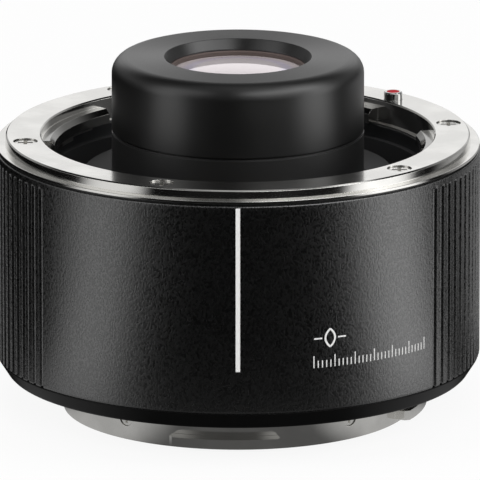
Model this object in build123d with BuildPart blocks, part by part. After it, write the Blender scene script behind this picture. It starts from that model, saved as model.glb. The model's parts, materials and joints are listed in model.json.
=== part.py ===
from build123d import *
import math
import os

os.makedirs("parts", exist_ok=True)

# A rear-mount tele converter: a short black body between two bayonets, with the
# optics in a barrel that stands out of the front one. All lengths are in
# millimetres. Heights start at the rear end of the spigot, and angles are counted
# from +X, so the index line faces -Y.

# Driving sizes: the bayonet sets the rest of the diameters
spigot_radius = 25.65
body_overhang = 9.85
body_radius = spigot_radius + body_overhang
flange_distance = 35.5
spigot_depth = 5.5
barrel_rise = 11.5

# Shared clearances
running_gap = 0.05
slip_gap = 0.1
moving_gap = 0.3
cut_overrun = 1.0

# Levels that several pieces share
rear_flange_z = spigot_depth
front_flange_z = rear_flange_z + flange_distance
barrel_top_z = front_flange_z + barrel_rise

# Bayonet geometry: the rear spigot with its lugs, and the claws of the front ring
spigot_wall = 2.75
spigot_bore = spigot_radius - spigot_wall
claw_play = 1.15
lug_reach = 2.15
lug_radius = spigot_radius + lug_reach
lug_lift = 0.65
lug_height = 1.4
lug_end_chamfer = 0.6
lug_angles = (-94.2, -10.7, 72, 155)
lug_spans = (34.5, 31.5, 28, 38)
claw_thickness = 2.1
claw_inset = 1.3
claw_lead = 0.7
claw_radius = spigot_radius + claw_play
claw_angles = (-94, -8.5, 66, 157.5)
claw_spans = (38, 43, 44, 45)

# Front bayonet ring
throat_play = 0.98
throat_radius = lug_radius + throat_play
flange_ledge = 1.43
flange_rim_radius = body_radius - flange_ledge
flange_rim_lean = 0.12
flange_rim_height = 1.3
flange_thickness = 3.5
flange_edge_break = 0.2
flange_rim_step = 0.17
flange_spigot_radius = flange_rim_radius - flange_rim_step
flange_seat_z = front_flange_z - flange_thickness
flange_rim_foot_z = front_flange_z - flange_rim_height

# Screws
flange_screw_circle = (throat_radius + flange_rim_radius) / 2
flange_screw_angles = (10.5, 67, 124, 189.5, 249.5, 318)
flange_head_radius = 1.7
flange_head_height = 1.0
flange_shank_radius = 0.85
flange_screw_length = 6.2
head_sink = 0.2
head_play = 0.1
cross_length_share = 1.3
cross_width_share = 0.24

# Trim ring between the body and the front bayonet
trim_edge_step = 0.15
trim_outer_radius = body_radius - trim_edge_step
trim_height = 0.7
trim_edge_break = 0.18
trim_z = flange_rim_foot_z - trim_height
trim_groove_depth = 0.3
trim_groove_height = 0.15

# Outer barrel, with its grip flutes and index line
barrel_wall = 1.5
barrel_bore_radius = body_radius - barrel_wall
barrel_bottom_rise = 2.5
barrel_bottom_z = rear_flange_z + barrel_bottom_rise
barrel_bottom_break = 0.4
barrel_lip_height = 0.8
barrel_lip_reach = 1.1
barrel_lip_radius = barrel_bore_radius - barrel_lip_reach
barrel_lip_z = flange_seat_z - barrel_lip_height
barrel_top_break = 0.25
flute_count = 27
flute_pitch_angle = 2.7
flute_width = 1.15
flute_depth = 0.34
flute_rim_height = 0.6
grip_zone_angles = (0, 180)
line_width = 0.65
line_depth = 0.12
line_bottom_margin = 6.4
line_bottom_z = barrel_bottom_z + line_bottom_margin
line_top_margin = 0.27
line_top_z = trim_z - line_top_margin
line_angle = -90

# Skirt ring at the rear end of the body
skirt_step = 0.2
skirt_top_radius = body_radius - skirt_step
skirt_slope_run = 1.3
skirt_bottom_radius = skirt_top_radius - skirt_slope_run
skirt_bottom_rise = 0.05
skirt_bottom_z = rear_flange_z + skirt_bottom_rise
skirt_foot_break = 0.25
skirt_wall = 0.5
skirt_lip_reach = 1.8
skirt_lip_radius = skirt_bottom_radius - skirt_lip_reach
skirt_lip_height = 0.8
skirt_land_inset = 0.4
skirt_land_radius = barrel_bore_radius - skirt_land_inset

# Chassis: one turned frame that carries everything
chassis_bottom_step = 0.3
chassis_bottom_z = barrel_bottom_z + chassis_bottom_step
chassis_foot_height = 3.0
lever_room = 1.2
chassis_wall = 1.4
chassis_wall_outer = barrel_bore_radius - lever_room
chassis_wall_inner = chassis_wall_outer - chassis_wall
chassis_head_height = 3.4
chassis_land_height = 2.0
chassis_head_bottom_z = flange_seat_z - chassis_head_height
chassis_land_bottom_z = flange_seat_z - chassis_land_height
chassis_throat_inset = 0.58
chassis_bore = throat_radius - chassis_throat_inset
chassis_ledge_reach = 1.9
chassis_ledge_bore = chassis_bore - chassis_ledge_reach
chassis_ledge_thickness = 1.2

# Base plate that carries the optics, set into the chassis from the front
web_top_depth = 11.0
web_top_z = front_flange_z - web_top_depth
web_thickness = 2.0
web_bore_inset = 0.15
web_bottom_z = web_top_z - web_thickness
plate_screw_margin = 1.1
plate_screw_circle = chassis_bore - plate_screw_margin
plate_screw_angles = (20, 110, 200, 290)
plate_screw_head_radius = 0.65
plate_screw_head_height = 0.6
plate_screw_radius = 0.4

# Bayonet leaf spring under the claws
leaf_thickness = 0.3
leaf_margin = 0.15
leaf_ring_width = 1.65
leaf_inner_radius = chassis_bore + leaf_margin
leaf_outer_radius = leaf_inner_radius + leaf_ring_width
leaf_tip_radius = claw_radius + moving_gap
spring_recess_radius = leaf_outer_radius + slip_gap
leaf_span = 30
leaf_bow = 0.5
leaf_bow_span = 8

# Optics: front barrel, tube, cell and glass
contact_circle_inset = 1.75
contact_circle = spigot_bore - contact_circle_inset
front_barrel_inset = 2.7
front_barrel_radius = contact_circle - front_barrel_inset
front_barrel_wall = 1.5
front_barrel_fillet = 2.4
seam_rise = 0.45
seam_width = 0.15
seam_depth = 0.3
mouth_inset = 7.65
mouth_radius = front_barrel_radius - mouth_inset
mouth_bevel_width = 0.9
mouth_bevel_radius = mouth_radius - mouth_bevel_width
mouth_bevel_depth = 1.4
tube_spigot_height = 2.4
tube_spigot_wall = 1.1
tube_flange_width = 3.05
tube_flange_radius = front_barrel_radius + tube_flange_width
tube_flange_height = 1.5
tube_screw_margin = 1.5
tube_screw_circle = tube_flange_radius - tube_screw_margin
tube_screw_angles = (-20, 60, 120, 200)
web_bore = front_barrel_radius - web_bore_inset
cell_flange_margin = 0.2
cell_flange_radius = web_bore - cell_flange_margin
cell_flange_height = 1.5
cell_neck_inset = 3.95
cell_neck_radius = front_barrel_radius - cell_neck_inset
cell_neck_height = 5.0
cell_neck_top_z = web_top_z + cell_neck_height
cell_rear_inset = 3.05
cell_rear_radius = front_barrel_radius - cell_rear_inset
cell_bottom_margin = 1.2
cell_bottom_z = chassis_bottom_z + cell_bottom_margin
front_glass_inset = 7.3
front_glass_radius = front_barrel_radius - front_glass_inset
front_glass_rim = 1.55
front_cell_wall = 1.45
cell_front_radius = front_glass_radius + front_cell_wall
front_seat_depth = 0.6
front_seat_z = front_flange_z - front_seat_depth
front_stop_width = 0.95
front_stop_radius = front_glass_radius - front_stop_width
middle_cell_wall = 1.45
middle_glass_radius = cell_neck_radius - middle_cell_wall
middle_glass_rim = 1.0
middle_seat_rise = 3.5
middle_seat_z = web_top_z + middle_seat_rise
rear_cell_wall = 1.35
rear_glass_radius = cell_rear_radius - rear_cell_wall
rear_seat_rise = 7.9
rear_seat_z = cell_bottom_z + rear_seat_rise
cell_rear_shoulder = 2.6
cell_rear_top_z = rear_seat_z + cell_rear_shoulder
retainer_height = 0.7
cement_gap = 0.05
glass_1_depth = 2.3
glass_1_top_z = barrel_top_z - glass_1_depth
glass_1_edge = 2.8
glass_1_front_sag = 0.75
glass_1_rear_sag = 0.6
front_spacer_height = 1.8
glass_2_edge = 3.0
glass_2_sag = 0.9
glass_3_rear_sag = 0.5
glass_4_edge = 3.0
glass_4_sag = 0.8
glass_5_edge = 3.4
glass_5_sag = 1.1
glass_6_edge = 2.6
glass_6_sag = 0.9
glass_7_edge = 4.4
glass_7_sag = 1.2
rear_ring_height = 1.5
rear_ring_width = 1.5

# Inner shroud: the black tray round the barrel's foot
shroud_sheet = 0.8
shroud_deck_width = 4.15
shroud_deck_radius = front_barrel_radius + shroud_deck_width
shroud_deck_depth = 5.8
shroud_deck_z = front_flange_z - shroud_deck_depth
shroud_deck_thickness = 1.0
shroud_rim_depth = 5.7
shroud_rim_z = front_flange_z - shroud_rim_depth
shroud_floor_thickness = 1.0
shroud_rim_width = 0.9
shroud_rim_radius = chassis_bore - shroud_rim_width

# Front contact block and its sprung pins
contact_angle = -90
contact_count = 10
contact_pitch_angle = 5.6
contact_block_inner_width = 1.4
contact_block_outer_width = 1.35
contact_block_inner = contact_circle - contact_block_inner_width
contact_block_outer = contact_circle + contact_block_outer_width
contact_end_span = 7.8
contact_block_span = contact_pitch_angle * (contact_count - 1) + 2 * contact_end_span
contact_block_depth = 5.4
contact_block_top_z = front_flange_z - contact_block_depth
contact_flex_height = 0.3
contact_base_height = 1.0
contact_tip_radius = 0.5
contact_tip_rise = 0.9
contact_travel = 0.8
contact_collar_radius = 0.75
contact_collar_height = 0.8
contact_spring_height = 1.6
contact_chamber_height = contact_travel + contact_collar_height + contact_spring_height
contact_spring_wall = 0.2
contact_screw_inset = 3.5
contact_screw_offset = contact_block_span / 2 - contact_screw_inset
contact_screw_head_radius = 0.9
contact_screw_head_height = 0.4
contact_screw_radius = 0.45

# Ring circuit board and flexible strips
board_inner_margin = 1.2
board_inner_radius = web_bore + board_inner_margin
board_outer_radius = chassis_ledge_bore - moving_gap
board_thickness = 0.8
board_post_height = 1.0
board_top_z = web_bottom_z - board_post_height
board_post_radius = 1.6
board_post_margin = 1.8
board_post_circle = board_outer_radius - board_post_margin
board_post_angles = (-30, 90, 210)
board_screw_head_radius = 1.2
board_screw_head_height = 0.7
board_screw_radius = 0.6
board_screw_length = 2.4
chip_width = 5.0
chip_depth = 4.0
chip_height = 0.9
chip_margin = 2.8
chip_circle = board_outer_radius - chip_margin
chip_angles = (20, 48, 138, 170, 240)
strip_width = 9.0
strip_thickness = 0.2
strip_slot_play = 0.4
front_strip_margin = 1.1
front_strip_radius = contact_block_outer + front_strip_margin
strip_spacing = 1.0
rear_strip_radius = front_strip_radius + strip_spacing
rear_strip_low_margin = 1.0
rear_strip_low_z = chassis_bottom_z + rear_strip_low_margin
rear_strip_tail_inset = 0.9
rear_strip_tail_radius = spigot_bore - rear_strip_tail_inset

# Rear bayonet
rear_plate_margin = 1.0
rear_plate_radius = skirt_bottom_radius - rear_plate_margin
rear_relief_radius = lug_radius + moving_gap
rear_relief_depth = 0.6
rear_ledge_reach = 2.1
rear_ledge_radius = spigot_bore - rear_ledge_reach
rear_ledge_height = 1.8
rear_screw_circle = (chassis_bore + skirt_lip_radius) / 2
rear_screw_angles = (-5, 85, 175, 265)
rear_screw_length = 5.2
lug_screw_depth = 2.4
lug_screw_z = rear_flange_z - lug_screw_depth
lug_screw_angles = (-129.5, -50.5, 50.5, 129.5)
lug_screw_head_radius = 1.1
lug_screw_head_height = 0.8
lug_screw_radius = 0.6
lug_screw_length = 4.6
rear_ledge_z = chassis_bottom_z - rear_ledge_height

# Rear contact block and light shield
rear_block_width = 3.5
rear_block_inner = spigot_bore - rear_block_width
rear_block_bottom_z = 0.6
rear_block_span = 90
rear_pad_width = 1.3
rear_pad_depth = 2.0
rear_pad_height = 0.2
shield_bottom_z = 1.2
shield_plate = 1.0
shield_wall = 2.3
shield_window_width_share = 1.18
shield_window_height_share = 0.83
shield_window_fillet = 2.5

# Lock pin and its spring
lock_angle = 41
lock_margin = 1.62
lock_circle = throat_radius + lock_margin
lock_pin_radius = 1.35
lock_rise = 1.2
lock_end_chamfer = 0.15
lock_dot_radius = 0.95
lock_dot_depth = 0.3
lock_travel = 1.35
lock_foot_radius = 2.2
lock_foot_height = 1.2
lock_stem_radius = 0.8
lock_stem_length = 4.6
lock_follower_radius = 0.6
lock_window_width = 5.4
lock_hole_radius = 1.45
lock_hole_depth = 2.0
spring_wire_radius = 0.14
lock_spring_radius = 1.25
lock_spring_turns = 4.5

# Release lever: a slider round the body that draws the lock pin down
lever_travel_angle = 6
lever_plate_thickness = 0.7
lever_plate_start = 33
lever_plate_end = 60
lever_plate_top_depth = 5.5
lever_plate_height = 8.7
lever_plate_top_z = front_flange_z - lever_plate_top_depth
lever_plate_bottom_z = lever_plate_top_z - lever_plate_height
lever_slot_play = 0.05
lever_stem_angle = 48
lever_stem_span = 4
lever_stem_rise = 2.2
lever_stem_height = 3.0
lever_stem_bottom_z = lever_plate_bottom_z + lever_stem_rise
lever_stem_top_z = lever_stem_bottom_z + lever_stem_height
lever_knob_span = 10
lever_knob_margin = 1.6
lever_knob_bottom_z = lever_stem_bottom_z - lever_knob_margin
lever_knob_top_z = lever_stem_top_z + lever_knob_margin
lever_knob_gap = 0.15
lever_knob_thickness = 1.3
lever_knob_fillet = 0.35
lever_rib_count = 5
lever_rib_width = 0.5
lever_rib_depth = 0.35
lever_rib_pitch_angle = 1.7
lever_window_play = 0.3
lever_tab_span = 1.2
lever_tab_reach = 0.9
lever_tab_inner_radius = chassis_wall_outer - lever_tab_reach
lever_spring_circle = chassis_wall_outer - slip_gap
lever_spring_radius = 0.75
lever_spring_end_angle = 74
lever_spring_turns = 8
lever_spring_z = (lever_stem_bottom_z + lever_stem_top_z) / 2
guide_rib_height = 0.7
guide_rib_start = 25
guide_rib_span = 50


def polar_point(radius, angle, height):
    """Return the point at this radius, angle and height."""
    return (radius * math.cos(math.radians(angle)), radius * math.sin(math.radians(angle)), height)


def radial_plane(radius, angle, height):
    """Return a plane that faces outwards, with its x along the turn and its y upwards."""
    outward = Vector(*polar_point(1, angle, 0))
    sideways = Vector(*polar_point(1, angle + 90, 0))
    return Plane(origin=polar_point(radius, angle, height), x_dir=sideways, z_dir=outward)


def ring_sector(inner_radius, outer_radius, middle_angle, span):
    """Return a flat sector of a ring round the axis."""
    start = middle_angle - span / 2
    with BuildSketch() as sector:
        with BuildLine():
            outer_arc = CenterArc((0, 0), outer_radius, start, span)
            inner_arc = CenterArc((0, 0), inner_radius, start, span)
            Line(outer_arc @ 0, inner_arc @ 0)
            Line(outer_arc @ 1, inner_arc @ 1)
        make_face()
    return sector.sketch


def screw(head_radius, head_height, shank_radius, length):
    """Return a cross-head screw with the top of its head at the origin, pointing up."""
    with BuildPart() as body:
        with BuildSketch(Plane.XY.offset(-head_height)):
            Circle(head_radius)
        extrude(amount=head_height)
        with BuildSketch(Plane.XY.offset(-head_height)):
            Circle(shank_radius)
        extrude(amount=-(length - head_height))
        with BuildSketch(Plane.XY):
            cross_length = head_radius * cross_length_share
            Rectangle(cross_length, cross_length * cross_width_share)
            Rectangle(cross_length * cross_width_share, cross_length)
        extrude(amount=-head_height / 2, mode=Mode.SUBTRACT)
    return body.part


def coil(start_plane, radius, length, turns):
    """Return a coil spring that rises from a plane along the plane's normal."""
    with BuildPart() as spring:
        with BuildLine() as centre_line:
            Helix(
                pitch=length / turns,
                height=length,
                radius=radius,
                center=start_plane.origin,
                direction=start_plane.z_dir,
            )
        with BuildSketch(Plane(origin=centre_line.line @ 0, z_dir=centre_line.line % 0)):
            RegularPolygon(radius=spring_wire_radius, side_count=6)
        sweep(is_frenet=True)
    return spring.part


def glass(top_z, edge, radius, rim, top_sag, bottom_sag):
    """Return a round element with flat rims, whose faces bulge up by their sags."""
    clear_radius = radius - rim
    with BuildPart() as element:
        with BuildSketch(Plane.XZ):
            with BuildLine():
                upper = TangentArc((0, top_z + top_sag), (clear_radius, top_z), tangent=(1, 0))
                bottom_z = top_z - edge
                lower = TangentArc((0, bottom_z + bottom_sag), (clear_radius, bottom_z), tangent=(1, 0))
                Polyline(upper @ 1, (radius, top_z), (radius, bottom_z), lower @ 1)
                Line(upper @ 0, lower @ 0)
            make_face()
        revolve(axis=Axis.Z)
    return element.part


# Front bayonet ring with its four claws, screw seats and lock-pin hole
with BuildPart() as front_bayonet:
    with BuildSketch(Plane.XZ):
        with BuildLine():
            Polyline(
                (throat_radius, flange_seat_z),
                (flange_spigot_radius, flange_seat_z),
                (flange_spigot_radius, flange_rim_foot_z),
                (flange_rim_radius, flange_rim_foot_z),
                (flange_rim_radius - flange_rim_lean, front_flange_z - flange_edge_break),
                (flange_rim_radius - flange_rim_lean - flange_edge_break, front_flange_z),
                (throat_radius + flange_edge_break, front_flange_z),
                (throat_radius, front_flange_z - flange_edge_break),
                close=True,
            )
        make_face()
    revolve(axis=Axis.Z)
    claw_top_z = front_flange_z - claw_inset
    for claw_angle, claw_span in zip(claw_angles, claw_spans):
        with BuildSketch(Plane.XY.offset(claw_top_z)):
            add(ring_sector(claw_radius, throat_radius + slip_gap, claw_angle, claw_span))
        extrude(amount=-claw_thickness)
    with BuildSketch(Plane.XZ):
        with BuildLine():
            Polyline(
                (claw_radius, claw_top_z - claw_lead),
                (claw_radius + claw_lead, claw_top_z),
                (claw_radius, claw_top_z),
                close=True,
            )
        make_face()
    revolve(axis=Axis.Z, mode=Mode.SUBTRACT)
    for screw_angle in flange_screw_angles:
        with Locations(polar_point(flange_screw_circle, screw_angle, front_flange_z)):
            CounterBoreHole(
                radius=flange_shank_radius + head_play,
                counter_bore_radius=flange_head_radius + head_play,
                counter_bore_depth=flange_head_height + head_sink,
                depth=flange_thickness + cut_overrun,
            )
    with Locations(polar_point(lock_circle, lock_angle, front_flange_z)):
        Hole(radius=lock_pin_radius + running_gap, depth=flange_thickness + cut_overrun)
front_bayonet.part.label = "front_bayonet"
export_step(front_bayonet.part, "parts/front_bayonet.step")

# Screws of the front bayonet
flange_screw = screw(flange_head_radius, flange_head_height, flange_shank_radius, flange_screw_length)
with BuildPart() as front_bayonet_screws:
    for screw_angle in flange_screw_angles:
        with Locations(polar_point(flange_screw_circle, screw_angle, front_flange_z - head_sink)):
            add(flange_screw)
front_bayonet_screws.part.label = "front_bayonet_screws"
export_step(front_bayonet_screws.part, "parts/front_bayonet_screws.step")

# Leaf spring under the claws: a flat ring with four tongues that bow down
leaf_top_z = flange_seat_z
with BuildPart() as bayonet_spring:
    with BuildSketch(Plane.XY.offset(leaf_top_z)):
        Circle(leaf_outer_radius)
        Circle(leaf_inner_radius, mode=Mode.SUBTRACT)
        for claw_angle in claw_angles:
            add(ring_sector(leaf_tip_radius, leaf_outer_radius, claw_angle, leaf_span))
    extrude(amount=-leaf_thickness)
    for claw_angle in claw_angles:
        with BuildSketch(Plane.XY.offset(leaf_top_z - leaf_thickness)):
            add(ring_sector(leaf_tip_radius, chassis_bore - moving_gap, claw_angle, leaf_bow_span))
        extrude(amount=-leaf_bow)
    with BuildSketch(Plane.XY.offset(leaf_top_z)):
        with Locations(polar_point(lock_circle, lock_angle, 0)):
            Circle(lock_pin_radius + moving_gap)
    extrude(amount=-leaf_thickness, mode=Mode.SUBTRACT)
bayonet_spring.part.label = "bayonet_spring"
export_step(bayonet_spring.part, "parts/bayonet_spring.step")

# Trim ring with a shallow groove under its edge
with BuildPart() as trim_ring:
    with BuildSketch(Plane.XZ):
        with BuildLine():
            Polyline(
                (flange_spigot_radius + running_gap, trim_z),
                (trim_outer_radius - trim_groove_depth, trim_z),
                (trim_outer_radius - trim_groove_depth, trim_z + trim_groove_height),
                (trim_outer_radius, trim_z + trim_groove_height),
                (trim_outer_radius, flange_rim_foot_z - trim_edge_break),
                (trim_outer_radius - trim_edge_break, flange_rim_foot_z),
                (flange_spigot_radius + running_gap, flange_rim_foot_z),
                close=True,
            )
        make_face()
    revolve(axis=Axis.Z)
trim_ring.part.label = "trim_ring"
export_step(trim_ring.part, "parts/trim_ring.step")

# Outer barrel with grip flutes at both sides, a groove for the line and a lever window
lever_window_span = lever_stem_span + lever_travel_angle + 2 * math.degrees(lever_window_play / body_radius)
lever_window_angle = lever_stem_angle + lever_travel_angle / 2
flute_radius = ((flute_width / 2) ** 2 + flute_depth**2) / (2 * flute_depth)
flute_circle = body_radius - flute_depth + flute_radius
with BuildPart() as outer_barrel:
    with BuildSketch(Plane.XZ):
        with BuildLine():
            Polyline(
                (barrel_bore_radius, barrel_bottom_z),
                (body_radius - barrel_bottom_break, barrel_bottom_z),
                (body_radius, barrel_bottom_z + barrel_bottom_break),
                (body_radius, trim_z - barrel_top_break),
                (body_radius - barrel_top_break, trim_z),
                (barrel_bore_radius, trim_z),
                (barrel_bore_radius, flange_seat_z),
                (barrel_lip_radius, flange_seat_z),
                (barrel_lip_radius, barrel_lip_z),
                (barrel_bore_radius, barrel_lip_z),
                close=True,
            )
        make_face()
    revolve(axis=Axis.Z)
    flute_reach = trim_z - barrel_top_break - flute_rim_height - barrel_bottom_z
    for zone_angle in grip_zone_angles:
        zone_start = zone_angle - flute_pitch_angle * (flute_count - 1) / 2
        with BuildSketch(Plane.XY.offset(barrel_bottom_z)):
            for flute in range(flute_count):
                with Locations(polar_point(flute_circle, zone_start + flute * flute_pitch_angle, 0)):
                    Circle(flute_radius)
        extrude(amount=flute_reach, mode=Mode.SUBTRACT)
    with BuildSketch(Plane.XY.offset(line_bottom_z)):
        line_span = math.degrees(line_width / body_radius)
        add(ring_sector(body_radius - line_depth, body_radius + cut_overrun, line_angle, line_span))
    extrude(amount=line_top_z - line_bottom_z, mode=Mode.SUBTRACT)
    with BuildSketch(Plane.XY.offset(lever_stem_bottom_z - lever_window_play)):
        window_inner = barrel_bore_radius - slip_gap
        window_outer = body_radius + cut_overrun
        add(ring_sector(window_inner, window_outer, lever_window_angle, lever_window_span))
    extrude(amount=lever_stem_top_z - lever_stem_bottom_z + 2 * lever_window_play, mode=Mode.SUBTRACT)
outer_barrel.part.label = "outer_barrel"
export_step(outer_barrel.part, "parts/outer_barrel.step")

# White index line, set flush into the barrel
with BuildPart() as index_line:
    with BuildSketch(Plane.XY.offset(line_bottom_z)):
        add(ring_sector(body_radius - line_depth, body_radius, line_angle, line_span))
    extrude(amount=line_top_z - line_bottom_z)
index_line.part.label = "index_line"
export_step(index_line.part, "parts/index_line.step")

# Skirt ring: the sloping rear edge of the body, clamped under the chassis
with BuildPart() as skirt_ring:
    with BuildSketch(Plane.XZ):
        with BuildLine():
            Polyline(
                (skirt_bottom_radius - skirt_wall, skirt_bottom_z),
                (skirt_bottom_radius - skirt_foot_break, skirt_bottom_z),
                (skirt_bottom_radius, skirt_bottom_z + skirt_foot_break),
                (skirt_top_radius, barrel_bottom_z),
                (skirt_land_radius, barrel_bottom_z),
                (skirt_land_radius, chassis_bottom_z),
                (skirt_lip_radius, chassis_bottom_z),
                (skirt_lip_radius, chassis_bottom_z - skirt_lip_height),
                (skirt_bottom_radius - skirt_wall, chassis_bottom_z - skirt_lip_height),
                close=True,
            )
        make_face()
    revolve(axis=Axis.Z)
skirt_ring.part.label = "skirt_ring"
export_step(skirt_ring.part, "parts/skirt_ring.step")

# Chassis: foot ring, wall, stepped ledge and head ring in one piece
chassis_land_radius = barrel_bore_radius - slip_gap
lever_plate_inner = barrel_bore_radius - moving_gap - lever_plate_thickness
with BuildPart() as chassis:
    with BuildSketch(Plane.XZ):
        with BuildLine():
            Polyline(
                (chassis_bore, chassis_bottom_z),
                (chassis_land_radius, chassis_bottom_z),
                (chassis_land_radius, chassis_bottom_z + chassis_foot_height),
                (chassis_wall_outer, chassis_bottom_z + chassis_foot_height),
                (chassis_wall_outer, chassis_land_bottom_z),
                (chassis_land_radius, chassis_land_bottom_z),
                (chassis_land_radius, barrel_lip_z),
                (barrel_lip_radius - slip_gap, barrel_lip_z),
                (barrel_lip_radius - slip_gap, flange_seat_z),
                (spring_recess_radius, flange_seat_z),
                (spring_recess_radius, flange_seat_z - leaf_thickness),
                (chassis_bore, flange_seat_z - leaf_thickness),
                (chassis_bore, chassis_head_bottom_z),
                (chassis_wall_inner, chassis_head_bottom_z),
                (chassis_wall_inner, web_top_z),
                (chassis_bore, web_top_z),
                (chassis_bore, web_bottom_z),
                (chassis_ledge_bore, web_bottom_z),
                (chassis_ledge_bore, web_bottom_z - chassis_ledge_thickness),
                (chassis_wall_inner, web_bottom_z - chassis_ledge_thickness),
                (chassis_wall_inner, chassis_bottom_z + chassis_foot_height),
                (chassis_bore, chassis_bottom_z + chassis_foot_height),
                close=True,
            )
        make_face()
    revolve(axis=Axis.Z)
    with BuildSketch(Plane.XY.offset(lever_plate_bottom_z - slip_gap)):
        rib_inner = chassis_wall_outer - slip_gap
        rib_middle = guide_rib_start + guide_rib_span / 2
        add(ring_sector(rib_inner, barrel_bore_radius - moving_gap, rib_middle, guide_rib_span))
    extrude(amount=-guide_rib_height)
    for screw_angle in flange_screw_angles:
        with BuildSketch(Plane.XY.offset(flange_seat_z)):
            with Locations(polar_point(flange_screw_circle, screw_angle, 0)):
                Circle(flange_shank_radius)
        extrude(amount=-(flange_seat_z - chassis_head_bottom_z), mode=Mode.SUBTRACT)
    for screw_angle in rear_screw_angles:
        with BuildSketch(Plane.XY.offset(chassis_bottom_z)):
            with Locations(polar_point(rear_screw_circle, screw_angle, 0)):
                Circle(flange_shank_radius)
        extrude(amount=chassis_foot_height, mode=Mode.SUBTRACT)
    with BuildSketch(Plane.XY.offset(web_bottom_z)):
        for screw_angle in plate_screw_angles:
            with Locations(polar_point(plate_screw_circle, screw_angle, 0)):
                Circle(plate_screw_radius)
    extrude(amount=-chassis_ledge_thickness, mode=Mode.SUBTRACT)
    with BuildSketch(Plane.XY.offset(flange_seat_z)):
        with Locations(polar_point(lock_circle, lock_angle, 0)):
            Circle(lock_pin_radius + running_gap)
    extrude(amount=-(flange_seat_z - chassis_head_bottom_z), mode=Mode.SUBTRACT)
    with BuildSketch(Plane.XY.offset(web_top_z)):
        with Locations(polar_point(lock_circle, lock_angle, 0)):
            Circle(lock_stem_radius + running_gap)
    extrude(amount=-(web_thickness + chassis_ledge_thickness), mode=Mode.SUBTRACT)
    lock_window_height = chassis_head_bottom_z - web_top_z
    with BuildSketch(radial_plane(chassis_wall_inner - cut_overrun, lock_angle, chassis_head_bottom_z)):
        with Locations((0, -lock_window_height / 2)):
            Rectangle(lock_window_width, lock_window_height)
    extrude(amount=chassis_wall_outer - chassis_wall_inner + 2 * cut_overrun, mode=Mode.SUBTRACT)
    spring_window_start = lever_plate_end - lever_tab_span - math.degrees(moving_gap / chassis_wall_outer)
    spring_window_span = lever_spring_end_angle - spring_window_start
    with BuildSketch(Plane.XY.offset(lever_stem_bottom_z - lever_window_play)):
        wall_inner = chassis_wall_inner - slip_gap
        wall_outer = chassis_wall_outer + slip_gap
        spring_window_angle = spring_window_start + spring_window_span / 2
        add(ring_sector(wall_inner, wall_outer, spring_window_angle, spring_window_span))
    extrude(amount=lever_stem_top_z - lever_stem_bottom_z + 2 * lever_window_play, mode=Mode.SUBTRACT)
chassis.part.label = "chassis"
export_step(chassis.part, "parts/chassis.step")

# Base plate: a flat ring on the chassis ledge, with posts for the board under it
with BuildPart() as optics_plate:
    with BuildSketch(Plane.XY.offset(web_bottom_z)):
        Circle(chassis_bore - running_gap)
        Circle(web_bore, mode=Mode.SUBTRACT)
    extrude(amount=web_thickness)
    with BuildSketch(Plane.XY.offset(web_bottom_z)):
        for post_angle in board_post_angles:
            with Locations(polar_point(board_post_circle, post_angle, 0)):
                Circle(board_post_radius)
    extrude(amount=-(web_bottom_z - board_top_z))
    with BuildSketch(Plane.XY.offset(board_top_z)):
        for post_angle in board_post_angles:
            with Locations(polar_point(board_post_circle, post_angle, 0)):
                Circle(board_screw_radius)
    extrude(amount=board_screw_length, mode=Mode.SUBTRACT)
    with BuildSketch(Plane.XY.offset(web_bottom_z)):
        for screw_angle in tube_screw_angles:
            with Locations(polar_point(tube_screw_circle, screw_angle, 0)):
                Circle(flange_shank_radius)
        for screw_angle in plate_screw_angles:
            with Locations(polar_point(plate_screw_circle, screw_angle, 0)):
                Circle(plate_screw_radius + running_gap)
        strip_slot_x, strip_slot_y, _ = polar_point(front_strip_radius, contact_angle, 0)
        with Locations((strip_slot_x, strip_slot_y)):
            Rectangle(strip_width + 2 * strip_slot_play, strip_thickness + 2 * strip_slot_play)
    extrude(amount=web_thickness, mode=Mode.SUBTRACT)
    with BuildSketch(Plane.XY.offset(web_top_z)):
        for screw_angle in plate_screw_angles:
            with Locations(polar_point(plate_screw_circle, screw_angle, 0)):
                Circle(plate_screw_head_radius + running_gap)
    extrude(amount=-plate_screw_head_height, mode=Mode.SUBTRACT)
optics_plate.part.label = "optics_plate"
export_step(optics_plate.part, "parts/optics_plate.step")

# Screws that hold the base plate on the ledge, flush with its top
plate_screw_reach = web_thickness + chassis_ledge_thickness
plate_screw = screw(plate_screw_head_radius, plate_screw_head_height, plate_screw_radius, plate_screw_reach)
with BuildPart() as plate_screws:
    for screw_angle in plate_screw_angles:
        with Locations(polar_point(plate_screw_circle, screw_angle, web_top_z)):
            add(plate_screw)
plate_screws.part.label = "plate_screws"
export_step(plate_screws.part, "parts/plate_screws.step")

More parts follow.
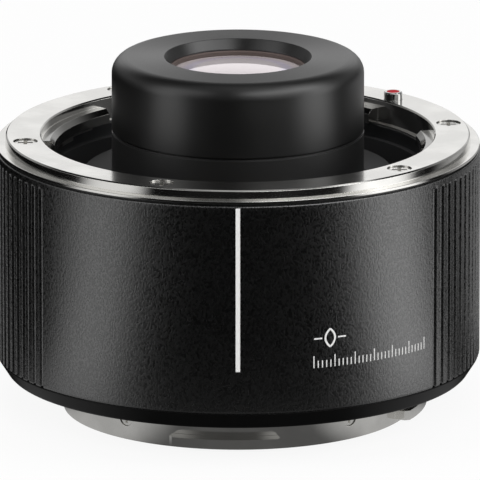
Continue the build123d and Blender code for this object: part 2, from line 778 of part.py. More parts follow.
# Inner shroud: a hat over the tube's flange and a trench out to the chassis bore
shroud_window_span = contact_block_span + 2 * math.degrees(moving_gap / contact_block_inner)
with BuildPart() as inner_shroud:
    with BuildSketch(Plane.XZ):
        with BuildLine():
            Polyline(
                (front_barrel_radius + slip_gap, shroud_deck_z),
                (shroud_deck_radius, shroud_deck_z),
                (shroud_deck_radius, web_top_z + shroud_floor_thickness),
                (shroud_rim_radius, web_top_z + shroud_floor_thickness),
                (shroud_rim_radius, shroud_rim_z),
                (chassis_bore - running_gap, shroud_rim_z),
                (chassis_bore - running_gap, web_top_z),
                (shroud_deck_radius - shroud_sheet, web_top_z),
                (shroud_deck_radius - shroud_sheet, shroud_deck_z - shroud_deck_thickness),
                (front_barrel_radius + slip_gap, shroud_deck_z - shroud_deck_thickness),
                close=True,
            )
        make_face()
    revolve(axis=Axis.Z)
    with BuildSketch(Plane.XY.offset(web_top_z)):
        window_outer = contact_block_outer + slip_gap
        add(ring_sector(front_barrel_radius, window_outer, contact_angle, shroud_window_span))
        strip_x, strip_y, _ = polar_point(front_strip_radius, contact_angle, 0)
        with Locations((strip_x, strip_y + shroud_sheet)):
            Rectangle(strip_width + 2 * strip_slot_play, 2 * shroud_sheet + 2 * strip_slot_play)
    extrude(amount=shroud_rim_z - web_top_z, mode=Mode.SUBTRACT)
inner_shroud.part.label = "inner_shroud"
export_step(inner_shroud.part, "parts/inner_shroud.step")

# Barrel tube: stands on the chassis web and carries the barrel cap on its spigot
seam_z = front_flange_z + seam_rise
tube_inner_radius = front_barrel_radius - front_barrel_wall
tube_shoulder_z = seam_z - seam_width
with BuildPart() as barrel_tube:
    with BuildSketch(Plane.XZ):
        with BuildLine():
            Polyline(
                (cell_neck_radius + slip_gap, web_top_z),
                (tube_flange_radius, web_top_z),
                (tube_flange_radius, web_top_z + tube_flange_height),
                (front_barrel_radius, web_top_z + tube_flange_height),
                (front_barrel_radius, tube_shoulder_z),
                (front_barrel_radius - seam_depth, tube_shoulder_z),
                (front_barrel_radius - seam_depth, seam_z),
                (tube_inner_radius, seam_z),
                (tube_inner_radius, seam_z + tube_spigot_height),
                (tube_inner_radius - tube_spigot_wall, seam_z + tube_spigot_height),
                (tube_inner_radius - tube_spigot_wall, web_top_z + tube_flange_height),
                (cell_neck_radius + slip_gap, web_top_z + tube_flange_height),
                close=True,
            )
        make_face()
    revolve(axis=Axis.Z)
    for screw_angle in tube_screw_angles:
        with BuildSketch(Plane.XY.offset(web_top_z)):
            with Locations(polar_point(tube_screw_circle, screw_angle, 0)):
                Circle(flange_shank_radius + head_play)
        extrude(amount=tube_flange_height, mode=Mode.SUBTRACT)
    with BuildSketch(Plane.XY.offset(web_top_z)):
        block_room_span = contact_block_span + 4 * math.degrees(moving_gap / contact_block_inner)
        add(ring_sector(front_barrel_radius, tube_flange_radius + slip_gap, contact_angle, block_room_span))
    extrude(amount=tube_flange_height, mode=Mode.SUBTRACT)
barrel_tube.part.label = "barrel_tube"
export_step(barrel_tube.part, "parts/barrel_tube.step")

# Screws that hold the barrel tube on the web
tube_head_radius = tube_flange_radius - tube_screw_circle
tube_screw_reach = web_thickness + tube_flange_height
tube_screw = screw(tube_head_radius, flange_head_height, flange_shank_radius, tube_screw_reach)
tube_head_top_z = web_top_z + tube_flange_height + flange_head_height
with BuildPart() as tube_screws:
    for screw_angle in tube_screw_angles:
        with Locations(polar_point(tube_screw_circle, screw_angle, tube_head_top_z)):
            add(tube_screw)
tube_screws.part.label = "tube_screws"
export_step(tube_screws.part, "parts/tube_screws.step")

# Barrel cap: the black front of the barrel, with its bevelled mouth
cap_lip_z = barrel_top_z - mouth_bevel_depth
retainer_top_z = glass_1_top_z + retainer_height
cell_top_z = retainer_top_z
with BuildPart() as barrel_cap:
    with BuildSketch(Plane.XZ):
        with BuildLine():
            Polyline(
                (front_barrel_radius, barrel_top_z),
                (mouth_radius, barrel_top_z),
                (mouth_bevel_radius, cap_lip_z),
                (mouth_bevel_radius, cell_top_z),
                (cell_front_radius + slip_gap, cell_top_z),
                (cell_front_radius + slip_gap, cell_top_z - shroud_deck_thickness),
                (tube_inner_radius + running_gap, cell_top_z - shroud_deck_thickness),
                (tube_inner_radius + running_gap, seam_z),
                (front_barrel_radius, seam_z),
                close=True,
            )
        make_face()
    revolve(axis=Axis.Z)
    top_edges = barrel_cap.edges().group_by(Axis.Z)[-1]
    fillet(top_edges.sort_by(SortBy.RADIUS)[-1], front_barrel_fillet)
barrel_cap.part.label = "barrel_cap"
export_step(barrel_cap.part, "parts/barrel_cap.step")

# Optics cell: one stepped tube with a seat for each group of glass
with BuildPart() as optics_cell:
    with BuildSketch(Plane.XZ):
        with BuildLine():
            Polyline(
                (front_glass_radius + running_gap, cell_top_z),
                (cell_front_radius, cell_top_z),
                (cell_front_radius, cell_neck_top_z),
                (cell_neck_radius, cell_neck_top_z),
                (cell_neck_radius, web_top_z),
                (cell_flange_radius, web_top_z),
                (cell_flange_radius, web_top_z - cell_flange_height),
                (cell_neck_radius, web_top_z - cell_flange_height),
                (cell_neck_radius, cell_rear_top_z),
                (cell_rear_radius, cell_rear_top_z),
                (cell_rear_radius, cell_bottom_z),
                (rear_glass_radius + running_gap, cell_bottom_z),
                (rear_glass_radius + running_gap, rear_seat_z),
                (middle_glass_radius + running_gap, rear_seat_z),
                (middle_glass_radius + running_gap, middle_seat_z),
                (front_stop_radius, middle_seat_z),
                (front_stop_radius, front_seat_z),
                (front_glass_radius + running_gap, front_seat_z),
                close=True,
            )
        make_face()
    revolve(axis=Axis.Z)
optics_cell.part.label = "optics_cell"
export_step(optics_cell.part, "parts/optics_cell.step")

# Front retaining ring over the first element
with BuildPart() as front_retainer:
    with BuildSketch(Plane.XY.offset(glass_1_top_z)):
        Circle(front_glass_radius)
        Circle(front_glass_radius - front_glass_rim, mode=Mode.SUBTRACT)
    extrude(amount=retainer_height)
    inner_top_edge = front_retainer.edges().group_by(Axis.Z)[-1].sort_by(SortBy.RADIUS)[0]
    chamfer(inner_top_edge, (mouth_bevel_radius - front_glass_radius + front_glass_rim) / 2)
front_retainer.part.label = "front_retainer"
export_step(front_retainer.part, "parts/front_retainer.step")

# Glass, from the front to the rear: a single, a pair, a cemented triplet and a single
glass_1_bottom_z = glass_1_top_z - glass_1_edge
glass_2_top_z = glass_1_bottom_z - front_spacer_height
glass_3_top_z = glass_2_top_z - glass_2_edge
glass_3_edge = glass_3_top_z - front_seat_z
glass_5_top_z = middle_seat_z - glass_4_edge
glass_6_top_z = glass_5_top_z - glass_5_edge
glass_6_bottom_z = glass_6_top_z - glass_6_edge
glass_7_top_z = rear_seat_z - rear_ring_height / 2
glass_7_bottom_z = glass_7_top_z - glass_7_edge
rear_glass_rim = rear_glass_radius - (middle_glass_radius - middle_glass_rim)
front_pair = (front_glass_radius, front_glass_rim)
triplet = (middle_glass_radius, middle_glass_rim)
rear_single = (rear_glass_radius, rear_glass_rim)
elements = {
    "glass_1": glass(glass_1_top_z, glass_1_edge, *front_pair, glass_1_front_sag, -glass_1_rear_sag),
    "glass_2": glass(glass_2_top_z, glass_2_edge, *front_pair, -glass_2_sag, glass_2_sag),
    "glass_3": glass(glass_3_top_z, glass_3_edge, *front_pair, glass_2_sag - cement_gap, -glass_3_rear_sag),
    "glass_4": glass(middle_seat_z, glass_4_edge, *triplet, -glass_4_sag, -glass_5_sag),
    "glass_5": glass(glass_5_top_z, glass_5_edge, *triplet, -glass_5_sag - cement_gap, glass_6_sag),
    "glass_6": glass(glass_6_top_z, glass_6_edge, *triplet, glass_6_sag - cement_gap, -glass_4_sag),
    "glass_7": glass(glass_7_top_z, glass_7_edge, *rear_single, glass_7_sag, -glass_7_sag),
}
for element_name, element in elements.items():
    element.label = element_name
    export_step(element, f"parts/{element_name}.step")

# Spacers between the groups, and the ring that holds the last element
with BuildPart() as front_spacer:
    with BuildSketch(Plane.XY.offset(glass_2_top_z)):
        Circle(front_glass_radius)
        Circle(front_stop_radius, mode=Mode.SUBTRACT)
    extrude(amount=front_spacer_height)
front_spacer.part.label = "front_spacer"
export_step(front_spacer.part, "parts/front_spacer.step")

with BuildPart() as rear_spacer:
    with BuildSketch(Plane.XY.offset(glass_7_top_z)):
        Circle(middle_glass_radius)
        Circle(middle_glass_radius - middle_glass_rim, mode=Mode.SUBTRACT)
    extrude(amount=glass_6_bottom_z - glass_7_top_z)
rear_spacer.part.label = "rear_spacer"
export_step(rear_spacer.part, "parts/rear_spacer.step")

with BuildPart() as rear_retainer:
    with BuildSketch(Plane.XY.offset(glass_7_bottom_z)):
        Circle(rear_glass_radius)
        Circle(rear_glass_radius - rear_ring_width, mode=Mode.SUBTRACT)
    extrude(amount=-rear_ring_height)
rear_retainer.part.label = "rear_retainer"
export_step(rear_retainer.part, "parts/rear_retainer.step")

# Front contact block with a stepped chamber for each sprung pin
contact_first_angle = contact_angle - contact_pitch_angle * (contact_count - 1) / 2
contact_pin_angles = [contact_first_angle + contact_pitch_angle * place for place in range(contact_count)]
contact_base_z = web_top_z + contact_base_height
contact_block_z = contact_base_z + contact_flex_height
contact_chamber_top_z = contact_block_z + contact_chamber_height
contact_screw_angles = (contact_angle - contact_screw_offset, contact_angle + contact_screw_offset)
with BuildPart() as front_contact_block:
    with BuildSketch(Plane.XY.offset(contact_block_z)):
        add(ring_sector(contact_block_inner, contact_block_outer, contact_angle, contact_block_span))
    extrude(amount=contact_block_top_z - contact_block_z)
    with BuildSketch(Plane.XY.offset(contact_block_z)):
        for pin_angle in contact_pin_angles:
            with Locations(polar_point(contact_circle, pin_angle, 0)):
                Circle(contact_collar_radius + running_gap)
    extrude(amount=contact_chamber_height, mode=Mode.SUBTRACT)
    with BuildSketch(Plane.XY.offset(contact_block_z)):
        for pin_angle in contact_pin_angles:
            with Locations(polar_point(contact_circle, pin_angle, 0)):
                Circle(contact_tip_radius + running_gap)
        for screw_angle in contact_screw_angles:
            with Locations(polar_point(contact_circle, screw_angle, 0)):
                Circle(contact_screw_radius)
    extrude(amount=contact_block_top_z - contact_block_z, mode=Mode.SUBTRACT)
    for screw_angle in contact_screw_angles:
        with BuildSketch(Plane.XY.offset(contact_block_top_z)):
            with Locations(polar_point(contact_circle, screw_angle, 0)):
                Circle(contact_screw_head_radius + running_gap)
        extrude(amount=-contact_screw_head_height, mode=Mode.SUBTRACT)
front_contact_block.part.label = "front_contact_block"
export_step(front_contact_block.part, "parts/front_contact_block.step")

# Base plate under the contact block, standing on the web
with BuildPart() as contact_base:
    with BuildSketch(Plane.XY.offset(web_top_z)):
        add(ring_sector(contact_block_inner, contact_block_outer, contact_angle, contact_block_span))
        for screw_angle in contact_screw_angles:
            with Locations(polar_point(contact_circle, screw_angle, 0)):
                Circle(contact_screw_radius, mode=Mode.SUBTRACT)
    extrude(amount=contact_base_height)
contact_base.part.label = "contact_base"
export_step(contact_base.part, "parts/contact_base.step")

# Screws that clamp the block, the strip and the base together
contact_screw_reach = contact_block_top_z - web_top_z
contact_screw = screw(
    contact_screw_head_radius, contact_screw_head_height, contact_screw_radius, contact_screw_reach
)
with BuildPart() as contact_screws:
    for screw_angle in contact_screw_angles:
        with Locations(polar_point(contact_circle, screw_angle, contact_block_top_z)):
            add(contact_screw)
contact_screws.part.label = "contact_screws"
export_step(contact_screws.part, "parts/contact_screws.step")

# Sprung contact pins, one node each because each one moves
contact_collar_z = contact_chamber_top_z - contact_collar_height
for number, pin_angle in enumerate(contact_pin_angles, start=1):
    with BuildPart() as contact_pin:
        with BuildSketch(Plane.XY.offset(contact_collar_z)):
            with Locations(polar_point(contact_circle, pin_angle, 0)):
                Circle(contact_collar_radius)
        extrude(amount=contact_collar_height)
        with BuildSketch(Plane.XY.offset(contact_chamber_top_z)):
            with Locations(polar_point(contact_circle, pin_angle, 0)):
                Circle(contact_tip_radius)
        extrude(amount=contact_block_top_z + contact_tip_rise - contact_chamber_top_z)
        fillet(contact_pin.edges().group_by(Axis.Z)[-1], contact_tip_radius / 2)
    contact_pin.part.label = f"contact_pin_{number}"
    export_step(contact_pin.part, f"parts/contact_pin_{number}.step")

# Coil springs under the pins, drawn as the sleeves that they fill
with BuildPart() as contact_springs:
    with BuildSketch(Plane.XY.offset(contact_block_z)):
        for pin_angle in contact_pin_angles:
            with Locations(polar_point(contact_circle, pin_angle, 0)):
                Circle(contact_collar_radius - running_gap)
                Circle(contact_collar_radius - running_gap - contact_spring_wall, mode=Mode.SUBTRACT)
    extrude(amount=contact_collar_z - contact_block_z)
contact_springs.part.label = "contact_springs"
export_step(contact_springs.part, "parts/contact_springs.step")

# Flexible strip from under the contact block down to the board
with BuildPart() as front_strip:
    with BuildSketch(Plane.XY.offset(contact_base_z)):
        add(ring_sector(contact_block_inner, contact_block_outer, contact_angle, contact_block_span))
        for screw_angle in contact_screw_angles:
            with Locations(polar_point(contact_circle, screw_angle, 0)):
                Circle(contact_screw_radius, mode=Mode.SUBTRACT)
    extrude(amount=contact_flex_height)
    with BuildSketch(Plane.XY.offset(contact_base_z)):
        tail_reach = front_strip_radius + strip_thickness / 2 - contact_circle
        with Locations((0, -(contact_circle + tail_reach / 2))):
            Rectangle(strip_width, tail_reach)
    extrude(amount=contact_flex_height)
    with BuildSketch(Plane.XY.offset(contact_base_z)):
        with Locations((0, -front_strip_radius)):
            Rectangle(strip_width, strip_thickness)
    extrude(amount=-(contact_base_z - board_top_z))
front_strip.part.label = "front_strip"
export_step(front_strip.part, "parts/front_strip.step")

# Ring circuit board under the web, with its chips and screws
board_bottom_z = board_top_z - board_thickness
with BuildPart() as circuit_board:
    with BuildSketch(Plane.XY.offset(board_bottom_z)):
        Circle(board_outer_radius)
        Circle(board_inner_radius, mode=Mode.SUBTRACT)
        for post_angle in board_post_angles:
            with Locations(polar_point(board_post_circle, post_angle, 0)):
                Circle(board_screw_radius, mode=Mode.SUBTRACT)
    extrude(amount=board_thickness)
circuit_board.part.label = "circuit_board"
export_step(circuit_board.part, "parts/circuit_board.step")

with BuildPart() as board_chips:
    with BuildSketch(Plane.XY.offset(board_bottom_z)):
        for chip_angle in chip_angles:
            chip_x, chip_y, _ = polar_point(chip_circle, chip_angle, 0)
            with Locations(Location((chip_x, chip_y, 0), chip_angle)):
                Rectangle(chip_depth, chip_width)
    extrude(amount=-chip_height)
board_chips.part.label = "board_chips"
export_step(board_chips.part, "parts/board_chips.step")

board_screw_total = board_screw_head_height + board_thickness + board_screw_length - slip_gap
board_screw = screw(board_screw_head_radius, board_screw_head_height, board_screw_radius, board_screw_total)
board_head_z = board_bottom_z - board_screw_head_height
with BuildPart() as board_screws:
    for post_angle in board_post_angles:
        with Locations(Location(polar_point(board_post_circle, post_angle, board_head_z), (180, 0, 0))):
            add(board_screw)
board_screws.part.label = "board_screws"
export_step(board_screws.part, "parts/board_screws.step")

# Flexible strip from the board down to the rear contact block
with BuildPart() as rear_strip:
    with BuildSketch(Plane.XY.offset(rear_strip_low_z)):
        with Locations((0, -rear_strip_radius)):
            Rectangle(strip_width, strip_thickness)
    extrude(amount=board_bottom_z - rear_strip_low_z)
    with BuildSketch(Plane.XY.offset(rear_strip_low_z)):
        strip_run = rear_strip_radius - rear_strip_tail_radius + strip_thickness
        with Locations((0, -(rear_strip_radius + rear_strip_tail_radius) / 2)):
            Rectangle(strip_width, strip_run)
    extrude(amount=strip_thickness)
    with BuildSketch(Plane.XY.offset(rear_strip_low_z)):
        with Locations((0, -rear_strip_tail_radius)):
            Rectangle(strip_width, strip_thickness)
    extrude(amount=-(rear_strip_low_z - rear_ledge_z))
rear_strip.part.label = "rear_strip"
export_step(rear_strip.part, "parts/rear_strip.step")

# Rear bayonet: flange plate, spigot with four lugs, screw seats and lock hole
rear_step_z = chassis_bottom_z - skirt_lip_height
with BuildPart() as rear_bayonet:
    with BuildSketch(Plane.XZ):
        with BuildLine():
            Polyline(
                (spigot_bore, 0),
                (spigot_radius, 0),
                (spigot_radius, rear_flange_z + rear_relief_depth),
                (rear_relief_radius, rear_flange_z + rear_relief_depth),
                (rear_relief_radius, rear_flange_z),
                (rear_plate_radius, rear_flange_z),
                (rear_plate_radius, rear_step_z),
                (skirt_lip_radius - slip_gap, rear_step_z),
                (skirt_lip_radius - slip_gap, chassis_bottom_z),
                (rear_ledge_radius, chassis_bottom_z),
                (rear_ledge_radius, rear_ledge_z),
                (spigot_bore, rear_ledge_z),
                close=True,
            )
        make_face()
    revolve(axis=Axis.Z)
    for lug_angle, lug_span in zip(lug_angles, lug_spans):
        with BuildSketch(Plane.XY.offset(lug_lift)):
            add(ring_sector(spigot_radius - slip_gap, lug_radius, lug_angle, lug_span))
        extrude(amount=lug_height)
    lug_ends = rear_bayonet.edges().filter_by(Axis.Z).filter_by(
        lambda edge: abs(Vector(edge.center().X, edge.center().Y, 0).length - lug_radius) < running_gap
    )
    chamfer(lug_ends, lug_end_chamfer)
    for screw_angle in rear_screw_angles:
        with BuildSketch(Plane.XY.offset(rear_flange_z)):
            with Locations(polar_point(rear_screw_circle, screw_angle, 0)):
                Circle(flange_head_radius + head_play)
        extrude(amount=flange_head_height + head_sink, mode=Mode.SUBTRACT)
        with BuildSketch(Plane.XY.offset(rear_flange_z)):
            with Locations(polar_point(rear_screw_circle, screw_angle, 0)):
                Circle(flange_shank_radius + head_play)
        extrude(amount=chassis_bottom_z - rear_flange_z, mode=Mode.SUBTRACT)
    with BuildSketch(Plane.XY.offset(rear_flange_z)):
        with Locations(polar_point(lock_circle, lock_angle, 0)):
            Circle(lock_hole_radius)
    extrude(amount=lock_hole_depth, mode=Mode.SUBTRACT)
    for screw_angle in lug_screw_angles:
        with BuildSketch(radial_plane(spigot_radius + cut_overrun, screw_angle, lug_screw_z)):
            Circle(lug_screw_head_radius + running_gap)
        extrude(amount=-(cut_overrun + lug_screw_head_height + head_sink), mode=Mode.SUBTRACT)
        with BuildSketch(radial_plane(spigot_radius, screw_angle, lug_screw_z)):
            Circle(lug_screw_radius + running_gap)
        extrude(amount=-(spigot_wall + slip_gap), mode=Mode.SUBTRACT)
    with BuildSketch(Plane.XY.offset(rear_ledge_z)):
        with Locations((0, -rear_strip_tail_radius)):
            Rectangle(strip_width + 2 * strip_slot_play, strip_thickness + 2 * strip_slot_play)
    extrude(amount=rear_ledge_height, mode=Mode.SUBTRACT)
rear_bayonet.part.label = "rear_bayonet"
export_step(rear_bayonet.part, "parts/rear_bayonet.step")

# Screws of the rear bayonet, heads down
rear_screw = screw(flange_head_radius, flange_head_height, flange_shank_radius, rear_screw_length)
with BuildPart() as rear_bayonet_screws:
    for screw_angle in rear_screw_angles:
        head_place = polar_point(rear_screw_circle, screw_angle, rear_flange_z + head_sink)
        with Locations(Location(head_place, (180, 0, 0))):
            add(rear_screw)
rear_bayonet_screws.part.label = "rear_bayonet_screws"
export_step(rear_bayonet_screws.part, "parts/rear_bayonet_screws.step")

# Small radial screws through the spigot, into the contact block and the light shield
lug_screw = screw(lug_screw_head_radius, lug_screw_head_height, lug_screw_radius, lug_screw_length)
with BuildPart() as spigot_screws:
    for screw_angle in lug_screw_angles:
        with Locations(radial_plane(spigot_radius - head_sink, screw_angle, lug_screw_z).location):
            add(lug_screw)
spigot_screws.part.label = "spigot_screws"
export_step(spigot_screws.part, "parts/spigot_screws.step")

# Rear contact block inside the spigot, and its flat pads
rear_block_outer = spigot_bore - running_gap
with BuildPart() as rear_contact_block:
    with BuildSketch(Plane.XY.offset(rear_block_bottom_z)):
        add(ring_sector(rear_block_inner, rear_block_outer, contact_angle, rear_block_span))
    extrude(amount=rear_ledge_z - rear_block_bottom_z)
    for screw_angle in lug_screw_angles[:2]:
        with BuildSketch(radial_plane(spigot_radius, screw_angle, lug_screw_z)):
            Circle(lug_screw_radius)
        extrude(amount=-(spigot_radius - rear_block_inner), mode=Mode.SUBTRACT)
rear_contact_block.part.label = "rear_contact_block"
export_step(rear_contact_block.part, "parts/rear_contact_block.step")

with BuildPart() as rear_contact_pads:
    with BuildSketch(Plane.XY.offset(rear_block_bottom_z)):
        for pin_angle in contact_pin_angles:
            pad_x, pad_y, _ = polar_point(contact_circle, pin_angle, 0)
            with Locations(Location((pad_x, pad_y, 0), pin_angle)):
                Rectangle(rear_pad_depth, rear_pad_width)
    extrude(amount=-rear_pad_height)
rear_contact_pads.part.label = "rear_contact_pads"
export_step(rear_contact_pads.part, "parts/rear_contact_pads.step")

# Light shield: a cup with a rectangular window, cut away for the contact block
shield_outer = spigot_bore - running_gap
with BuildPart() as light_shield:
    with BuildSketch(Plane.XY.offset(shield_bottom_z)):
        Circle(shield_outer)
    extrude(amount=rear_ledge_z - shield_bottom_z)
    with BuildSketch(Plane.XY.offset(shield_bottom_z + shield_plate)):
        Circle(shield_outer - shield_wall)
    extrude(amount=rear_ledge_z - shield_bottom_z - shield_plate, mode=Mode.SUBTRACT)
    with BuildSketch(Plane.XY.offset(shield_bottom_z)):
        window_width = spigot_bore * shield_window_width_share
        window_height = spigot_bore * shield_window_height_share
        RectangleRounded(window_width, window_height, shield_window_fillet)
        shield_room_span = rear_block_span + 2 * math.degrees(slip_gap / rear_block_inner)
        add(ring_sector(rear_block_inner - slip_gap, spigot_radius, contact_angle, shield_room_span))
    extrude(amount=rear_ledge_z - shield_bottom_z, mode=Mode.SUBTRACT)
    for screw_angle in lug_screw_angles[2:]:
        with BuildSketch(radial_plane(spigot_radius, screw_angle, lug_screw_z)):
            Circle(lug_screw_radius)
        extrude(amount=-(spigot_radius - shield_outer + shield_wall + slip_gap), mode=Mode.SUBTRACT)
light_shield.part.label = "light_shield"
export_step(light_shield.part, "parts/light_shield.step")

# Rubber weather seal: a band stretched over the rear flange's edge
with BuildPart() as rear_seal:
    with BuildSketch(Plane.XY.offset(rear_flange_z)):
        Circle(skirt_bottom_radius - skirt_wall - running_gap)
        Circle(rear_plate_radius + running_gap, mode=Mode.SUBTRACT)
    extrude(amount=rear_step_z - rear_flange_z)
rear_seal.part.label = "rear_seal"
export_step(rear_seal.part, "parts/rear_seal.step")

# Lock pin with its foot, its guide stem and the follower that the lever draws down
lock_foot_top_z = chassis_head_bottom_z - slip_gap
lock_foot_z = lock_foot_top_z - lock_foot_height
lock_top_z = front_flange_z + lock_rise
follower_z = lock_foot_top_z - lock_foot_height / 2
lock_x, lock_y, _ = polar_point(lock_circle, lock_angle, 0)
with BuildPart() as lock_pin:
    with BuildSketch(Plane.XY.offset(lock_foot_z)):
        with Locations((lock_x, lock_y)):
            Circle(lock_foot_radius)
    extrude(amount=lock_foot_height)
    with BuildSketch(Plane.XY.offset(lock_foot_top_z)):
        with Locations((lock_x, lock_y)):
            Circle(lock_pin_radius)
    extrude(amount=lock_top_z - lock_foot_top_z)
    chamfer(lock_pin.edges().group_by(Axis.Z)[-1], lock_end_chamfer)
    with BuildSketch(Plane.XY.offset(lock_top_z)):
        with Locations((lock_x, lock_y)):
            Circle(lock_dot_radius)
    extrude(amount=-lock_dot_depth, mode=Mode.SUBTRACT)
    with BuildSketch(Plane.XY.offset(lock_foot_z)):
        with Locations((lock_x, lock_y)):
            Circle(lock_stem_radius)
    extrude(amount=-lock_stem_length)
    with BuildSketch(radial_plane(lock_circle, lock_angle, follower_z)):
        Circle(lock_follower_radius)
    extrude(amount=barrel_bore_radius - moving_gap - slip_gap - lock_circle)
lock_pin.part.label = "lock_pin"
export_step(lock_pin.part, "parts/lock_pin.step")

# Red dot set into the pin's end
with BuildPart() as lock_pin_dot:
    with BuildSketch(Plane.XY.offset(lock_top_z - lock_dot_depth)):
        with Locations((lock_x, lock_y)):
            Circle(lock_dot_radius)
    extrude(amount=lock_dot_depth)
lock_pin_dot.part.label = "lock_pin_dot"
export_step(lock_pin_dot.part, "parts/lock_pin_dot.step")

# Coil spring that pushes the lock pin up
lock_spring_height = lock_foot_z - web_top_z - 2 * spring_wire_radius
lock_spring_base = Plane(origin=(lock_x, lock_y, web_top_z + spring_wire_radius), z_dir=(0, 0, 1))
lock_pin_spring = coil(lock_spring_base, lock_spring_radius, lock_spring_height, lock_spring_turns)
lock_pin_spring.label = "lock_pin_spring"
export_step(lock_pin_spring, "parts/lock_pin_spring.step")

# Release lever: curved plate with the sloping slot, stem, ribbed knob and spring tab
lever_plate_outer = lever_plate_inner + lever_plate_thickness
lever_plate_middle = (lever_plate_inner + lever_plate_outer) / 2
slot_angle_middle = lock_angle - lever_travel_angle / 2
slot_half_run = lever_plate_middle * math.sin(math.radians(lever_travel_angle / 2))
slot_slope = math.degrees(math.atan2(lock_travel, 2 * slot_half_run))
slot_length = math.hypot(lock_travel, 2 * slot_half_run) + slip_gap
with BuildPart() as release_lever:
    with BuildSketch(Plane.XY.offset(lever_plate_bottom_z)):
        plate_span = lever_plate_end - lever_plate_start
        plate_angle = (lever_plate_start + lever_plate_end) / 2
        add(ring_sector(lever_plate_inner, lever_plate_outer, plate_angle, plate_span))
    extrude(amount=lever_plate_top_z - lever_plate_bottom_z)
    slot_z = follower_z - lock_travel / 2
    with BuildSketch(radial_plane(lever_plate_inner - cut_overrun, slot_angle_middle, slot_z)):
        SlotCenterToCenter(slot_length, 2 * (lock_follower_radius + lever_slot_play), rotation=slot_slope)
    extrude(amount=lever_plate_thickness + 2 * cut_overrun, mode=Mode.SUBTRACT)
    with BuildSketch(Plane.XY.offset(lever_stem_bottom_z)):
        stem_outer = body_radius + lever_knob_gap + slip_gap
        add(ring_sector(lever_plate_outer - slip_gap, stem_outer, lever_stem_angle, lever_stem_span))
        tab_angle = lever_plate_end - lever_tab_span / 2
        add(ring_sector(lever_tab_inner_radius, lever_plate_outer, tab_angle, lever_tab_span))
    extrude(amount=lever_stem_top_z - lever_stem_bottom_z)
    knob_inner = body_radius + lever_knob_gap
    knob_outer = knob_inner + lever_knob_thickness
    with BuildSketch(Plane.XY.offset(lever_knob_bottom_z)):
        add(ring_sector(knob_inner, knob_outer, lever_stem_angle, lever_knob_span))
    extrude(amount=lever_knob_top_z - lever_knob_bottom_z)
    knob_edges = release_lever.edges().filter_by(
        lambda edge: Vector(edge.center().X, edge.center().Y, 0).length > knob_outer - lever_knob_gap
    )
    fillet(knob_edges, lever_knob_fillet)
    for rib in range(lever_rib_count):
        rib_angle = lever_stem_angle + (rib - (lever_rib_count - 1) / 2) * lever_rib_pitch_angle
        with BuildSketch(Plane.XY.offset(lever_knob_bottom_z)):
            rib_span = math.degrees(lever_rib_width / knob_outer)
            add(ring_sector(knob_outer - lever_rib_depth, knob_outer + cut_overrun, rib_angle, rib_span))
        extrude(amount=lever_knob_top_z - lever_knob_bottom_z, mode=Mode.SUBTRACT)
release_lever.part.label = "release_lever"
export_step(release_lever.part, "parts/release_lever.step")

# Coil spring that returns the lever, laid along the turn in the chassis window
spring_span_angle = lever_spring_end_angle - lever_plate_end
spring_middle_angle = lever_plate_end + spring_span_angle / 2
lever_spring_chord = 2 * lever_spring_circle * math.sin(math.radians(spring_span_angle / 2))
lever_spring_length = lever_spring_chord - 4 * spring_wire_radius
spring_centre = Vector(*polar_point(lever_spring_circle, spring_middle_angle, lever_spring_z))
spring_direction = Vector(*polar_point(1, spring_middle_angle + 90, 0))
spring_start = spring_centre - spring_direction * (lever_spring_length / 2)
lever_spring_base = Plane(origin=spring_start, z_dir=spring_direction)
lever_spring = coil(lever_spring_base, lever_spring_radius, lever_spring_length, lever_spring_turns)
lever_spring.label = "lever_spring"
export_step(lever_spring, "parts/lever_spring.step")
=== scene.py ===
"""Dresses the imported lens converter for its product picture.

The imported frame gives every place. Turned skins, inks and springs are modelled
here, the other nodes keep their shape, and every surface gets its finish.
"""

import json
import logging
import math
from abc import ABC, abstractmethod
from collections.abc import Callable, Mapping, Sequence
from dataclasses import dataclass
from enum import Enum
from typing import Any

import bmesh
import bpy
from mathutils import Matrix, Vector


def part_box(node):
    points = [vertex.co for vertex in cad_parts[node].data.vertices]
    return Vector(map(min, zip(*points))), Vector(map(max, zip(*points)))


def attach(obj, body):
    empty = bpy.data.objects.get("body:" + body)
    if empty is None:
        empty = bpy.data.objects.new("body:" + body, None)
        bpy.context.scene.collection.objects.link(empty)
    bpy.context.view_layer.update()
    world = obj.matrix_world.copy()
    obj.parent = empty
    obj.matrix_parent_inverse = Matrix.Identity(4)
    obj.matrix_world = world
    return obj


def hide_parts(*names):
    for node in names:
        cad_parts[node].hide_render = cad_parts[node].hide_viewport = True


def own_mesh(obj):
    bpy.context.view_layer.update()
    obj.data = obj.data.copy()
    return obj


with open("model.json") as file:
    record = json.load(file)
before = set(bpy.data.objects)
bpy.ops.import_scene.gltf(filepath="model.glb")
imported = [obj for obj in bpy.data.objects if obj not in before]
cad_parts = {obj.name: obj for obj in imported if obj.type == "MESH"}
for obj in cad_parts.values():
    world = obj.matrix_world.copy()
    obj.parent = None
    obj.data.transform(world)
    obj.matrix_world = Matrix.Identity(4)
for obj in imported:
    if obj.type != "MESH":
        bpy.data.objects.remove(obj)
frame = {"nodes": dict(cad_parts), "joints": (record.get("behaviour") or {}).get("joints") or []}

log = logging.getLogger("converter")

MM = 0.001
BODY = "frame"
WHITE = (1.0, 1.0, 1.0)
BEVEL_RAYS = 6
ACROSS = 0.25  # a quarter turn, from along the lathe marks to across them
SMOOTH_BELOW = 28.0  # degrees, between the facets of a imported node
SAME_POINT = 0.0001 * MM
Colour = tuple[float, float, float]
Ring = Sequence[Sequence[float]]
Outline = list[tuple[float, float]]
Socket = bpy.types.NodeSocket


class Direction(Enum):
    """Which way the fine lines of a machined surface run."""

    ROUND = "round"
    ALONG = "along"


